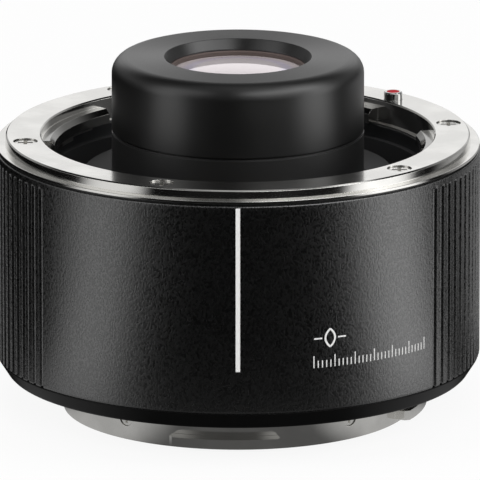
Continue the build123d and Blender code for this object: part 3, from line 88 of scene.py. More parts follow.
class Rays(Enum):
    """The kinds of ray that see surroundings of their own."""

    CAMERA = "Is Camera Ray"
    GLOSSY = "Is Glossy Ray"
    THROUGH = "Is Transmission Ray"


# Node maths


@dataclass(frozen=True)
class Field:
    """A number that varies over a surface, with the operators that a finish uses."""

    nodes: "Nodes"
    socket: Socket

    def math(self, operation: str, *others: "Field | float") -> "Field":
        """Return the result of a Math node that takes this field and the others."""
        values = dict(enumerate((self, *others)))
        return self.nodes.field(self.nodes.node("Math", {"operation": operation}, values))

    def __add__(self, other: "Field | float") -> "Field":
        """Return the sum."""
        return self.math("ADD", other)

    def __sub__(self, other: "Field | float") -> "Field":
        """Return the difference."""
        return self.math("SUBTRACT", other)

    def __rsub__(self, other: float) -> "Field":
        """Return a number less this field."""
        return self.math("MULTIPLY_ADD", -1.0, other)

    def __mul__(self, other: "Field | float") -> "Field":
        """Return the product."""
        return self.math("MULTIPLY", other)

    def __truediv__(self, other: "Field | float") -> "Field":
        """Return the quotient."""
        return self.math("DIVIDE", other)

    def __pow__(self, other: "Field | float") -> "Field":
        """Return the power."""
        return self.math("POWER", other)

    def __abs__(self) -> "Field":
        """Return the absolute value."""
        return self.math("ABSOLUTE")

    def ramp(self, low: float, high: float) -> "Field":
        """Return a smooth rise from 0 at one value to 1 at another.

        Args:
            low: The value where the rise starts.
            high: The value where it ends.

        Returns:
            The clamped, smoothed share.
        """
        sockets = {"Value": self, "From Min": low, "From Max": high}
        node = self.nodes.node("MapRange", {"interpolation_type": "SMOOTHSTEP"}, sockets)
        return self.nodes.field(node, "Result")


class Nodes:
    """The node tree of a material, of the world or of a modifier."""

    def __init__(self, tree: bpy.types.NodeTree) -> None:
        """Start from an empty tree."""
        self.tree = tree
        tree.nodes.clear()

    def node(
        self,
        kind: str,
        settings: Mapping[str, Any] | None = None,
        sockets: Mapping[int | str, Any] | None = None,
    ) -> bpy.types.Node:
        """Add a node.

        Args:
            kind: The node's type, less any "ShaderNode".
            settings: Its properties, which are set first.
            sockets: Its inputs, by name or place: numbers, fields, sockets, colours
                as tuples, or vectors as lists.

        Returns:
            The new node.
        """
        node = self.tree.nodes.new(kind if "Node" in kind else f"ShaderNode{kind}")
        for name, value in (settings or {}).items():
            setattr(node, name, value)
        for key, value in (sockets or {}).items():
            if isinstance(value, Field):
                value = value.socket
            if isinstance(value, Socket):
                self.tree.links.new(value, node.inputs[key])
            else:
                node.inputs[key].default_value = (*value, 1) if isinstance(value, tuple) else value
        return node

    def field(self, node: bpy.types.Node, output: int | str = 0) -> Field:
        """Return one output of a node as a field."""
        return Field(self, node.outputs[output])

    def place(self) -> Socket:
        """Return the object's own coordinates, which move with its body."""
        return self.node("TexCoord").outputs["Object"]

    def axes(self) -> tuple[Field, Field, Field]:
        """Return the three coordinates as fields."""
        split = self.node("SeparateXYZ", sockets={0: self.place()})
        return tuple(self.field(split, axis) for axis in range(3))

    def radius(self) -> Field:
        """Return the distance from the optical axis."""
        x, y, _ = self.axes()
        return (x * x + y * y) ** 0.5

    def noise(self, grain: float, detail: float = 2.0, stretch: Sequence[float] = (1, 1, 1)) -> Field:
        """Return noise from 0 to 1.

        Args:
            grain: The size of its features, in metres.
            detail: How many finer layers it has.
            stretch: How much longer the features are along each axis.

        Returns:
            The noise.
        """
        scales = [1 / (grain * share) for share in stretch]
        scaled = self.node("VectorMath", {"operation": "MULTIPLY"}, {0: self.place(), 1: scales})
        sockets = {"Vector": scaled.outputs[0], "Scale": 1.0, "Detail": detail}
        return self.field(self.node("TexNoise", sockets=sockets), "Fac")

    def lines(self, along: Field, pitch: float, detail: float = 3.0) -> Field:
        """Return noise that varies with one field alone, as tool marks at a pitch do."""
        sockets = {"W": along / pitch, "Scale": 1.0, "Detail": detail}
        return self.field(self.node("TexNoise", {"noise_dimensions": "1D"}, sockets), "Fac")

    def mix(self, share: Field | float, first: Any, second: Any) -> Socket:
        """Mix two colours, or sockets that carry one, by the share of the second."""
        sockets = {0: share, 6: first, 7: second}
        return self.node("Mix", {"data_type": "RGBA", "clamp_factor": True}, sockets).outputs[2]

    def blend(self, share: Field | float, first: Socket, second: Socket) -> Socket:
        """Mix two shaders by the share of the second."""
        return self.node("MixShader", sockets={0: share, 1: first, 2: second}).outputs[0]

    def rays(self) -> list[Field]:
        """Return the kinds of ray as fields, in the order of Rays."""
        path = self.node("LightPath")
        return [self.field(path, kind.value) for kind in Rays]

    def rounded(self, radius: float) -> Socket:
        """Return normals that round off the edges by a radius in metres."""
        return self.node("Bevel", {"samples": BEVEL_RAYS}, {"Radius": radius}).outputs[0]

    def edges(self, radius: float) -> Field:
        """Return 1 on the edges and 0 elsewhere, for rubbed edges and a painted highlight where they catch
        light.

        Args:
            radius: How wide the edges count, in metres.

        Returns:
            The mask.
        """
        flat = self.node("NewGeometry").outputs["Normal"]
        dot = self.node("VectorMath", {"operation": "DOT_PRODUCT"}, {0: self.rounded(radius), 1: flat})
        return (1 - self.field(dot, "Value")).ramp(0.01, 0.2)

    def bump(self, height: Field, depth: float, rounding: float = 0.0) -> Socket:
        """Return normals with a relief.

        Args:
            height: The relief, from 0 to 1.
            depth: Its depth, in metres.
            rounding: The radius that the edges are rounded by, or 0.

        Returns:
            The normal's socket.
        """
        sockets = {"Height": height, "Distance": depth}
        if rounding:
            sockets["Normal"] = self.rounded(rounding)
        return self.node("Bump", sockets=sockets).outputs[0]

    def surface(self, **sockets: Any) -> Socket:
        """Return the main surface shader. Underscores stand for the spaces of its inputs' names."""
        named = {name.replace("_", " "): value for name, value in sockets.items()}
        return self.node("BsdfPrincipled", sockets=named).outputs[0]

    def finish(self, shader: Socket) -> None:
        """Send a shader to the material's output."""
        self.node("OutputMaterial", sockets={"Surface": shader})


def new_material(name: str) -> tuple[bpy.types.Material, Nodes]:
    """Make an empty node material.

    Args:
        name: The material's name.

    Returns:
        The material and its tree.
    """
    material = bpy.data.materials.new(name)
    material.use_nodes = True
    return material, Nodes(material.node_tree)


# Finishes


def shade(colour: Colour, gain: float, lift: float = 0.0) -> Colour:
    """Return a colour with its channels times a gain and lifted, at most white."""
    return tuple(min(channel * gain + lift, 1.0) for channel in colour)


@dataclass(frozen=True)
class Finish(ABC):
    """A named finish. Its subclasses say how it looks."""

    name: str
    colour: Colour

    @abstractmethod
    def skin(self, shader: Nodes) -> Socket:
        """Build the surface in a tree, and return its socket."""

    def make(self) -> bpy.types.Material:
        """Make the material.

        Returns:
            The material.
        """
        material, shader = new_material(self.name)
        shader.finish(self.skin(shader))
        return material


@dataclass(frozen=True)
class GrainedPaint(Finish):
    """Black paint with a fine eroded grain, a little longer along the axis."""

    index: float = 2.3
    roughness: float = 0.28
    grain: float = 0.26 * MM
    depth: float = 0.017 * MM
    grain_length: float = 1.7
    rounding: float = 0.12 * MM

    def skin(self, shader: Nodes) -> Socket:
        """Build the painted surface.

        Args:
            shader: The tree to build it in.

        Returns:
            Its socket.
        """
        tall = (1, 1, self.grain_length)
        pits = shader.noise(self.grain, 2.0, tall).ramp(0.4, 0.62)
        fine = shader.noise(self.grain / 2.6, 1.0, tall).ramp(0.3, 0.7)
        cloud = shader.noise(self.grain * 30, 3.0)
        crests = shader.noise(self.grain * 1.3, 1.0, tall).ramp(0.6, 0.74)
        toned = shader.mix(cloud, shade(self.colour, 0.5), self.colour)
        return shader.surface(
            Base_Color=shader.mix(crests * 0.6, toned, shade(self.colour, 2, 0.003)),
            IOR=self.index,
            Roughness=pits * 0.1 + cloud * 0.05 + (self.roughness - 0.07),
            Normal=shader.bump(pits * 0.65 + fine * 0.35, self.depth, self.rounding),
        )


@dataclass(frozen=True)
class TurnedBlack(Finish):
    """Satin black anodising over lathe marks, whose gloss spreads across them."""

    roughness: float = 0.42
    mark_pitch: float = 0.12 * MM
    mark_depth: float = 0.003 * MM
    index: float = 1.85
    across_marks: float = 0.6
    direction: Direction = Direction.ROUND
    edge_wear_and_highlight: float = 0.012
    dust: float = 0.12 * MM
    cloud: float = 9 * MM
    rounding: float = 0.1 * MM

    def skin(self, shader: Nodes) -> Socket:
        """Build the anodised surface.

        Args:
            shader: The tree to build it in.

        Returns:
            Its socket.
        """
        x, y, z = shader.axes()
        crossed = z + shader.radius() if self.direction is Direction.ROUND else x + y
        marks = shader.lines(crossed, self.mark_pitch)
        dust = shader.noise(self.dust)
        cloud = shader.noise(self.cloud, 3.0)
        toned = shader.mix(cloud, shade(self.colour, 0.75), self.colour)
        # Edges are paler: partly rubbed anodising, partly a painted highlight where they catch light.
        rubbed_and_lit_edge = shade(self.colour, 1, self.edge_wear_and_highlight)
        return shader.surface(
            Base_Color=shader.mix(shader.edges(self.rounding * 2) * 0.5, toned, rubbed_and_lit_edge),
            IOR=self.index,
            Anisotropic=self.across_marks,
            Anisotropic_Rotation=ACROSS,
            Roughness=marks * 0.06 + dust * 0.08 + cloud * 0.05 + (self.roughness - 0.1),
            Normal=shader.bump(marks * 0.6 + dust * 0.4, self.mark_depth, self.rounding),
        )


@dataclass(frozen=True)
class BareMetal(Finish):
    """Bare metal with tool marks, faint smears and bright edges, which are partly rubbed metal and partly
    a painted highlight.

    Round the axis its gloss spreads across the marks by the share across_marks,
    and inside painted_shade_within its colour is brought down to the share painted_shade_share, as painted
    shade.
    """

    roughness: float = 0.17
    mark_pitch: float = 0.2 * MM
    mark_depth: float = 0.0006 * MM
    rounding: float = 0.08 * MM
    across_marks: float = 0.0
    painted_shade_within: float = 0.0
    painted_shade_fade: float = 0.1 * MM
    painted_shade_share: float = 0.4
    smear: float = 6 * MM
    speck: float = 0.15 * MM

    def skin(self, shader: Nodes) -> Socket:
        """Build the metal surface.

        Args:
            shader: The tree to build it in.

        Returns:
            Its socket.
        """
        _, _, z = shader.axes()
        marks = shader.lines(z + shader.radius(), self.mark_pitch, 4.0)
        smears = shader.noise(self.smear, 4.0)
        specks = shader.noise(self.speck)
        toned = shader.mix(smears.ramp(0.35, 0.7), shade(self.colour, 0.86), self.colour)
        # Edges are brighter: partly rubbed metal, partly a painted highlight where they catch light.
        colour = shader.mix(shader.edges(self.rounding * 2), toned, shade(self.colour, 1.12))
        # Painted shade: within the radius the colour is made darker, for the recessed claws that lie in
        # shade.
        if self.painted_shade_within:
            outer, inner = self.painted_shade_within + self.painted_shade_fade, self.painted_shade_within - self.painted_shade_fade
            inside = shader.radius().ramp(outer, inner)
            colour = shader.mix(inside, colour, shade(self.colour, self.painted_shade_share))
        return shader.surface(
            Base_Color=colour,
            Metallic=1.0,
            Anisotropic=self.across_marks,
            Anisotropic_Rotation=ACROSS,
            Roughness=marks * 0.05 + smears * 0.05 + (self.roughness - 0.05),
            Normal=shader.bump(marks * 0.8 + specks * 0.2, self.mark_depth, self.rounding),
        )


@dataclass(frozen=True)
class Moulded(Finish):
    """Moulded plastic or rubber with a fine eroded grain."""

    roughness: float = 0.55
    grain: float = 0.16 * MM
    depth: float = 0.012 * MM
    gloss: float = 0.5
    spread: float = 0.25
    cloud: float = 5 * MM
    edge: float = 0.15 * MM
    rounding: float = 0.08 * MM

    def skin(self, shader: Nodes) -> Socket:
        """Build the moulded surface.

        Args:
            shader: The tree to build it in.

        Returns:
            Its socket.
        """
        grain = shader.noise(self.grain, 3.0)
        cloud = shader.noise(self.cloud, 3.0)
        toned = shader.mix(cloud, shade(self.colour, 1 - self.spread), self.colour)
        # Edges are paler: partly rubbed, partly a painted highlight where they catch light.
        pale = shade(self.colour, 1 + self.spread, 0.02)
        return shader.surface(
            Base_Color=shader.mix(shader.edges(self.edge) * 0.6, toned, pale),
            Roughness=grain * 0.14 + cloud * 0.08 + (self.roughness - 0.11),
            Specular_IOR_Level=self.gloss,
            Normal=shader.bump(grain, self.depth, self.rounding),
        )


@dataclass(frozen=True)
class PlatedMetal(Finish):
    """Plated contacts, with rub marks where they touch."""

    roughness: float = 0.22
    rub: float = 0.3 * MM
    pit: float = 0.06 * MM
    depth: float = 0.001 * MM
    rounding: float = 0.05 * MM

    def skin(self, shader: Nodes) -> Socket:
        """Build the plated surface.

        Args:
            shader: The tree to build it in.

        Returns:
            Its socket.
        """
        rubs = shader.noise(self.rub, 3.0, (1, 1, 4))
        pits = shader.noise(self.pit)
        return shader.surface(
            Base_Color=shader.mix(rubs.ramp(0.3, 0.7), shade(self.colour, 0.8), self.colour),
            Metallic=1.0,
            Roughness=rubs * 0.12 + (self.roughness - 0.06),
            Normal=shader.bump(pits, self.depth, self.rounding),
        )


@dataclass(frozen=True)
class CircuitFilm(Finish):
    """Solder mask or film, with copper tracks that show through it."""

    track: Colour
    pitch: float = 0.9 * MM
    roughness: float = 0.35
    bend: float = 3 * MM
    sway: tuple[float, float] = (2 * MM, 3 * MM)
    dust: float = 0.2 * MM
    depth: float = 0.01 * MM

    def skin(self, shader: Nodes) -> Socket:
        """Build the film with its tracks.

        Args:
            shader: The tree to build it in.

        Returns:
            Its socket.
        """
        x, y, _ = shader.axes()
        wander = shader.noise(self.bend, 1.0)
        across = (x + wander * self.sway[0]) / self.pitch
        along = (y + wander * self.sway[1]) / self.pitch
        tracks = across.math("PINGPONG", 0.5).ramp(0.3, 0.36) * along.math("SINE").ramp(-0.4, -0.3)
        dust = shader.noise(self.dust)
        return shader.surface(
            Base_Color=shader.mix(tracks * 0.7, self.colour, self.track),
            Roughness=dust * 0.12 + (self.roughness - 0.06),
            Normal=shader.bump(tracks + dust * 0.1, self.depth),
        )


@dataclass(frozen=True)
class CoatedGlass(Finish):
    """A glass element, clear face on, that mirrors the tints of its coating at a slant."""

    ring_tint: Colour
    slant_gain: float = 0.5
    least: float = 0.03
    haze: float = 0.0
    ring_radius: float = 7.2 * MM
    ring_width: float = 1.6 * MM
    clearness: Colour = (0.93, 0.94, 0.93)
    smear: float = 4 * MM

    def skin(self, shader: Nodes) -> Socket:
        """Build the clear glass with its coating.

        Args:
            shader: The tree to build it in.

        Returns:
            Its socket.
        """
        slant = shader.field(shader.node("LayerWeight"), "Facing")
        smears = shader.noise(self.smear, 3.0)
        share = slant * slant * self.slant_gain + self.least + smears * 0.01
        ring = 1 - abs((shader.radius() - self.ring_radius) / self.ring_width)
        toned = shader.mix(smears, shade(self.colour, 0.94), self.colour)
        tint = shader.mix(ring.ramp(0, 1) * 0.8, toned, self.ring_tint)
        clear = shader.node("BsdfTransparent", sockets={0: self.clearness}).outputs[0]
        mirror = shader.surface(Base_Color=tint, Metallic=1 - self.haze, Roughness=smears * 0.02 + 0.02)
        return shader.blend(share, clear, mirror)


STEEL = (0.86, 0.85, 0.82)

# One finish for each slot of the record, one for the claws with painted shade, and one for the tube
FINISHES = (
    GrainedPaint("body_black", (0.0015, 0.0015, 0.0015)),
    Moulded("line_white", (0.70, 0.70, 0.69), 0.4, spread=0.05),
    TurnedBlack("skirt_black", (0.002, 0.002, 0.002), 0.45, index=1.25),
    BareMetal("chassis_metal", (0.20, 0.205, 0.21), 0.4, 0.3 * MM),
    BareMetal("bayonet_steel", STEEL, 0.12, mark_depth=0.0003 * MM, across_marks=0.1),
    # The claws get painted shade: their colour goes down within the bayonet's inner edge, where they lie
    # in shade.
    BareMetal("claw_steel", STEEL, 0.12, mark_depth=0.0003 * MM, across_marks=0.1, painted_shade_within=28.65 * MM),
    BareMetal("screw_steel", (0.84, 0.83, 0.80), 0.2, 0.1 * MM, rounding=0.05 * MM),
    TurnedBlack("screw_black", (0.006, 0.006, 0.006), 0.4),
    BareMetal("spring_steel", (0.55, 0.54, 0.52), 0.3),
    Moulded("shroud_black", (0.030, 0.030, 0.031), 0.6),
    TurnedBlack("barrel_black", (0.0015, 0.0015, 0.0015), 0.39, edge_wear_and_highlight=0.0),
    TurnedBlack("tube_black", (0.006, 0.006, 0.006), 0.45, index=1.7, edge_wear_and_highlight=0.0),
    TurnedBlack("cell_black", (0.006, 0.006, 0.006), 0.6, 0.5 * MM, 0.02 * MM),
    TurnedBlack("retainer_bronze", (0.10, 0.075, 0.068), 0.5, index=1.4),
    Moulded("contact_plastic", (0.01, 0.01, 0.01), 0.5),
    PlatedMetal("contact_gold", (0.86, 0.66, 0.30)),
    CircuitFilm("strip_amber", (0.42, 0.20, 0.05), (0.55, 0.33, 0.12), 0.6 * MM),
    CircuitFilm("board_green", (0.02, 0.10, 0.05), (0.05, 0.20, 0.10)),
    Moulded("chip_black", (0.02, 0.02, 0.02), 0.5),
    Moulded("shield_black", (0.010, 0.010, 0.010), 0.62),
    Moulded("seal_rubber", (0.012, 0.012, 0.012), 0.66, 0.3 * MM),
    BareMetal("pin_steel", (0.85, 0.85, 0.84), 0.12, 0.08 * MM, rounding=0.05 * MM),
    Moulded("dot_red", (0.46, 0.015, 0.025), 0.6, gloss=0.1),
    TurnedBlack("lever_black", (0.012, 0.012, 0.012), 0.4, direction=Direction.ALONG),
)

# Coatings of the seven elements, from the front
MAUVE, VIOLET = (0.93, 0.85, 0.87), (0.66, 0.60, 0.88)
SKY, LEAF = (0.62, 0.72, 0.90), (0.72, 0.86, 0.66)
COATINGS = (
    CoatedGlass("coating_1", MAUVE, (0.80, 0.74, 0.90), 1.45, 0.04, haze=0.55),
    CoatedGlass("coating_2", (0.80, 0.62, 0.78), VIOLET),
    CoatedGlass("coating_3", SKY, VIOLET),
    CoatedGlass("coating_4", LEAF, SKY),
    CoatedGlass("coating_5", (0.85, 0.70, 0.55), LEAF),
    CoatedGlass("coating_6", (0.60, 0.84, 0.76), SKY),
    CoatedGlass("coating_7", VIOLET, MAUVE, 0.9),
)


# Mesh tools


@dataclass(frozen=True)
class Corner:
    """A corner of a turned outline: its radius, its height and its rounding."""

    r: float
    z: float
    rounding: float = 0.0


@dataclass(frozen=True)
class InkLine:
    """A printed line: its points, as arc length round the skin and height, and its width."""

    points: tuple[tuple[float, float], ...]
    width: float


def rounded_outline(corners: Sequence[Corner], steps: int = 5) -> Outline:
    """Round the corners of a closed outline.

    Args:
        corners: The corners, in order.
        steps: The points in each rounding.

    Returns:
        Radius and height of each point.
    """
    points = []
    for place, corner in enumerate(corners):
        here = Vector((corner.r, corner.z))
        if not corner.rounding:
            points.append(tuple(here))
            continue
        before, after = corners[place - 1], corners[(place + 1) % len(corners)]
        back = (Vector((before.r, before.z)) - here).normalized()
        ahead = (Vector((after.r, after.z)) - here).normalized()
        half_angle = back.angle(ahead) / 2
        reach = corner.rounding / math.tan(half_angle)
        centre = here + (back + ahead).normalized() * (corner.rounding / math.sin(half_angle))
        start, end = here + back * reach - centre, here + ahead * reach - centre
        turn = start.angle_signed(end)
        for step in range(steps + 1):
            spoke = start.copy()
            spoke.rotate(Matrix.Rotation(-turn * step / steps, 2))
            points.append(tuple(centre + spoke))
    return points


def add_object(name: str, data: bpy.types.ID | bmesh.types.BMesh) -> bpy.types.Object:
    """Put an object into the scene.

    Args:
        name: Its name.
        data: Its lamp or camera, or its mesh as a bmesh, which is freed.

    Returns:
        The object.
    """
    if isinstance(data, bmesh.types.BMesh):
        mesh, data = data, bpy.data.meshes.new(name)
        mesh.to_mesh(data)
        mesh.free()
    item = bpy.data.objects.new(name, data)
    bpy.context.scene.collection.objects.link(item)
    return item


def add_piece(name: str, mesh: bmesh.types.BMesh, sharp_angle: float = 35.0) -> bpy.types.Object:
    """Add a smooth-shaded piece.

    Args:
        name: The piece's name.
        mesh: Its mesh, which is freed.
        sharp_angle: Edges over this angle, in degrees, stay sharp.

    Returns:
        The object.
    """
    bmesh.ops.recalc_face_normals(mesh, faces=mesh.faces)
    for face in mesh.faces:
        face.smooth = True
    for edge in mesh.edges:
        edge.smooth = edge.calc_face_angle(0) < math.radians(sharp_angle)
    piece = add_object(name, mesh)
    piece.modifiers.new("even shading", "WEIGHTED_NORMAL").keep_sharp = True
    return piece


def join_rings(mesh: bmesh.types.BMesh, rings: Sequence[Ring], closed: bool) -> None:
    """Skin over rings of points.

    Args:
        mesh: The mesh to add the skin to.
        rings: The points of each ring, in order.
        closed: Whether the last ring joins the first. Otherwise both are capped.
    """
    loops = [[mesh.verts.new(point) for point in ring] for ring in rings]
    for here, there in zip(loops, loops[1:] + loops[:1] if closed else loops[1:]):
        for row in range(len(here)):
            after = (row + 1) % len(here)
            mesh.faces.new((here[row], here[after], there[after], there[row]))
    if not closed:
        mesh.faces.new(loops[0])
        mesh.faces.new(reversed(loops[-1]))


def turned(
    name: str,
    outline: Outline,
    angles: Sequence[float] | int = 256,
    shape: Callable[[float, float, float], float] = lambda angle, r, z: r,
) -> bpy.types.Object:
    """Turn a closed outline round the optical axis.

    Args:
        name: The piece's name.
        outline: Radius and height of each point.
        angles: The angles of its sections in radians, or how many there are.
        shape: Gives the radius from the angle, the radius and the height.

    Returns:
        The object.
    """
    if isinstance(angles, int):
        angles = [math.tau * step / angles for step in range(angles)]
    rings = []
    for angle in angles:
        reached = [(shape(angle, r, z), z) for r, z in outline]
        rings.append([(r * math.cos(angle), r * math.sin(angle), z) for r, z in reached])
    mesh = bmesh.new()
    join_rings(mesh, rings, closed=True)
    return add_piece(name, mesh)


def printed(name: str, lines: Sequence[InkLine], radius: float, ink: float) -> bpy.types.Object:
    """Lay printed lines on a cylinder as thin raised strips.

    Args:
        name: The piece's name.
        lines: The lines.
        radius: The cylinder's radius.
        ink: How far the ink stands proud.

    Returns:
        The object.
    """
    mesh = bmesh.new()
    for line in lines:
        points = [Vector(point) for point in line.points]
        stations = []
        for place, point in enumerate(points):
            ahead = points[min(place + 1, len(points) - 1)] - points[max(place - 1, 0)]
            side = Vector((-ahead.y, ahead.x)).normalized() * (line.width / 2)
            left, right, top = point - side, point + side, radius + ink
            rim = ((radius, left), (radius, right), (top, right), (top, left))
            turns = [(r, at.x / radius, at.y) for r, at in rim]
            stations.append([(r * math.cos(turn), r * math.sin(turn), z) for r, turn, z in turns])
        join_rings(mesh, stations, closed=False)
    return add_piece(name, mesh)


def smoothing_group() -> bpy.types.GeometryNodeTree:
    """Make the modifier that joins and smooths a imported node's facets.

    Returns:
        Its node tree.
    """
    group = bpy.data.node_groups.new("joined and smoothed", "GeometryNodeTree")
    for way in ("INPUT", "OUTPUT"):
        group.interface.new_socket("Geometry", in_out=way, socket_type="NodeSocketGeometry")
    tree = Nodes(group)
    packed = tree.node("NodeGroupInput").outputs[0]
    joined = tree.node("GeometryNodeMergeByDistance", sockets={0: packed, "Distance": SAME_POINT})
    faces = tree.node("GeometryNodeSetShadeSmooth", {"domain": "FACE"}, {0: joined.outputs[0]})
    angle = tree.node("GeometryNodeInputMeshEdgeAngle").outputs["Unsigned Angle"]
    limits = {0: angle, 1: math.radians(SMOOTH_BELOW)}
    flat = tree.node("FunctionNodeCompare", {"operation": "LESS_THAN"}, limits).outputs[0]
    sockets = {0: faces.outputs[0], "Shade Smooth": flat}
    edges = tree.node("GeometryNodeSetShadeSmooth", {"domain": "EDGE"}, sockets)
    tree.node("NodeGroupOutput", sockets={0: edges.outputs[0]})
    return group


# Sub-assemblies


@dataclass
class Assembly(ABC):
    """A sub-assembly, which gives its nodes and pieces their finishes."""

    materials: Mapping[str, bpy.types.Material]
    smoothing: bpy.types.GeometryNodeTree

    @abstractmethod
    def build(self) -> None:
        """Build its pieces and dress its nodes."""

    def paint(self, piece: bpy.types.Object, finish: str) -> None:
        """Give an object one finish all over."""
        piece.data.materials.clear()
        piece.data.materials.append(self.materials[finish])

    def dress(self, finish: str, *names: str) -> None:
        """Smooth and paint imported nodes.

        Args:
            finish: The finish's name.
            *names: The nodes' names.
        """
        for name in names:
            piece = frame["nodes"][name]
            piece.modifiers.new("joined and smoothed", "NODES").node_group = self.smoothing
            piece.modifiers.new("even shading", "WEIGHTED_NORMAL").keep_sharp = True
            self.paint(piece, finish)
            log.info("node %s: %s", name, finish)

    def add(self, piece: bpy.types.Object, finish: str, *nodes: str) -> None:
        """Paint a new piece and tie it to the frame.

        Args:
            piece: The object.
            finish: The finish's name.
            *nodes: The nodes that it stands for.
        """
        self.paint(piece, finish)
        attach(piece, BODY)
        if nodes:
            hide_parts(*nodes)
        log.info("piece %s: %s", piece.name, finish)


@dataclass(frozen=True)
class Coil:
    """A coil spring: one tube along a helix that rises from its foot by its reach."""

    name: str
    foot: Vector
    reach: Vector
    radius: float
    wire: float
    turns: float
    steps: int = 14
    sides: int = 8
    sharp_angle: float = 50.0

    def build(self) -> bpy.types.Object:
        """Build the spring as a closed tube.

        Returns:
            The spring.
        """
        axis = self.reach.normalized()
        across = axis.orthogonal().normalized()
        beside = axis.cross(across)
        start, climb = self.foot + axis * self.wire, self.reach - 2 * self.wire * axis
        angles = [side * math.tau / self.sides for side in range(self.sides)]
        mesh = bmesh.new()
        rings = []
        count = round(self.turns * self.steps)
        for index in range(count + 1):
            turn = index / self.steps * math.tau
            outward = across * math.cos(turn) + beside * math.sin(turn)
            centre = start + climb * index / count + outward * self.radius
            spokes = [outward * math.cos(angle) + axis * math.sin(angle) for angle in angles]
            rings.append([centre + spoke * self.wire for spoke in spokes])
        join_rings(mesh, rings, closed=False)
        return add_piece(self.name, mesh, self.sharp_angle)

    def tie(self, owner: Assembly, node: str, joint: str) -> None:
        """Put the spring in a node's place, and work out the share of it that a joint's travel leaves.

        Args:
            owner: The sub-assembly that it belongs to.
            node: The node that it stands for.
            joint: The joint that presses on its far end.
        """
        piece = self.build()
        owner.add(piece, "spring_steel", node)
        row = next(row for row in frame["joints"] if row["name"] == joint)
        if "range_m" in row:
            travel = max(row["range_m"])
        else:
            travel = math.radians(max(row["range_deg"])) * self.foot.xy.length
        keep = 1 - travel / self.reach.length
        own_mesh(piece)


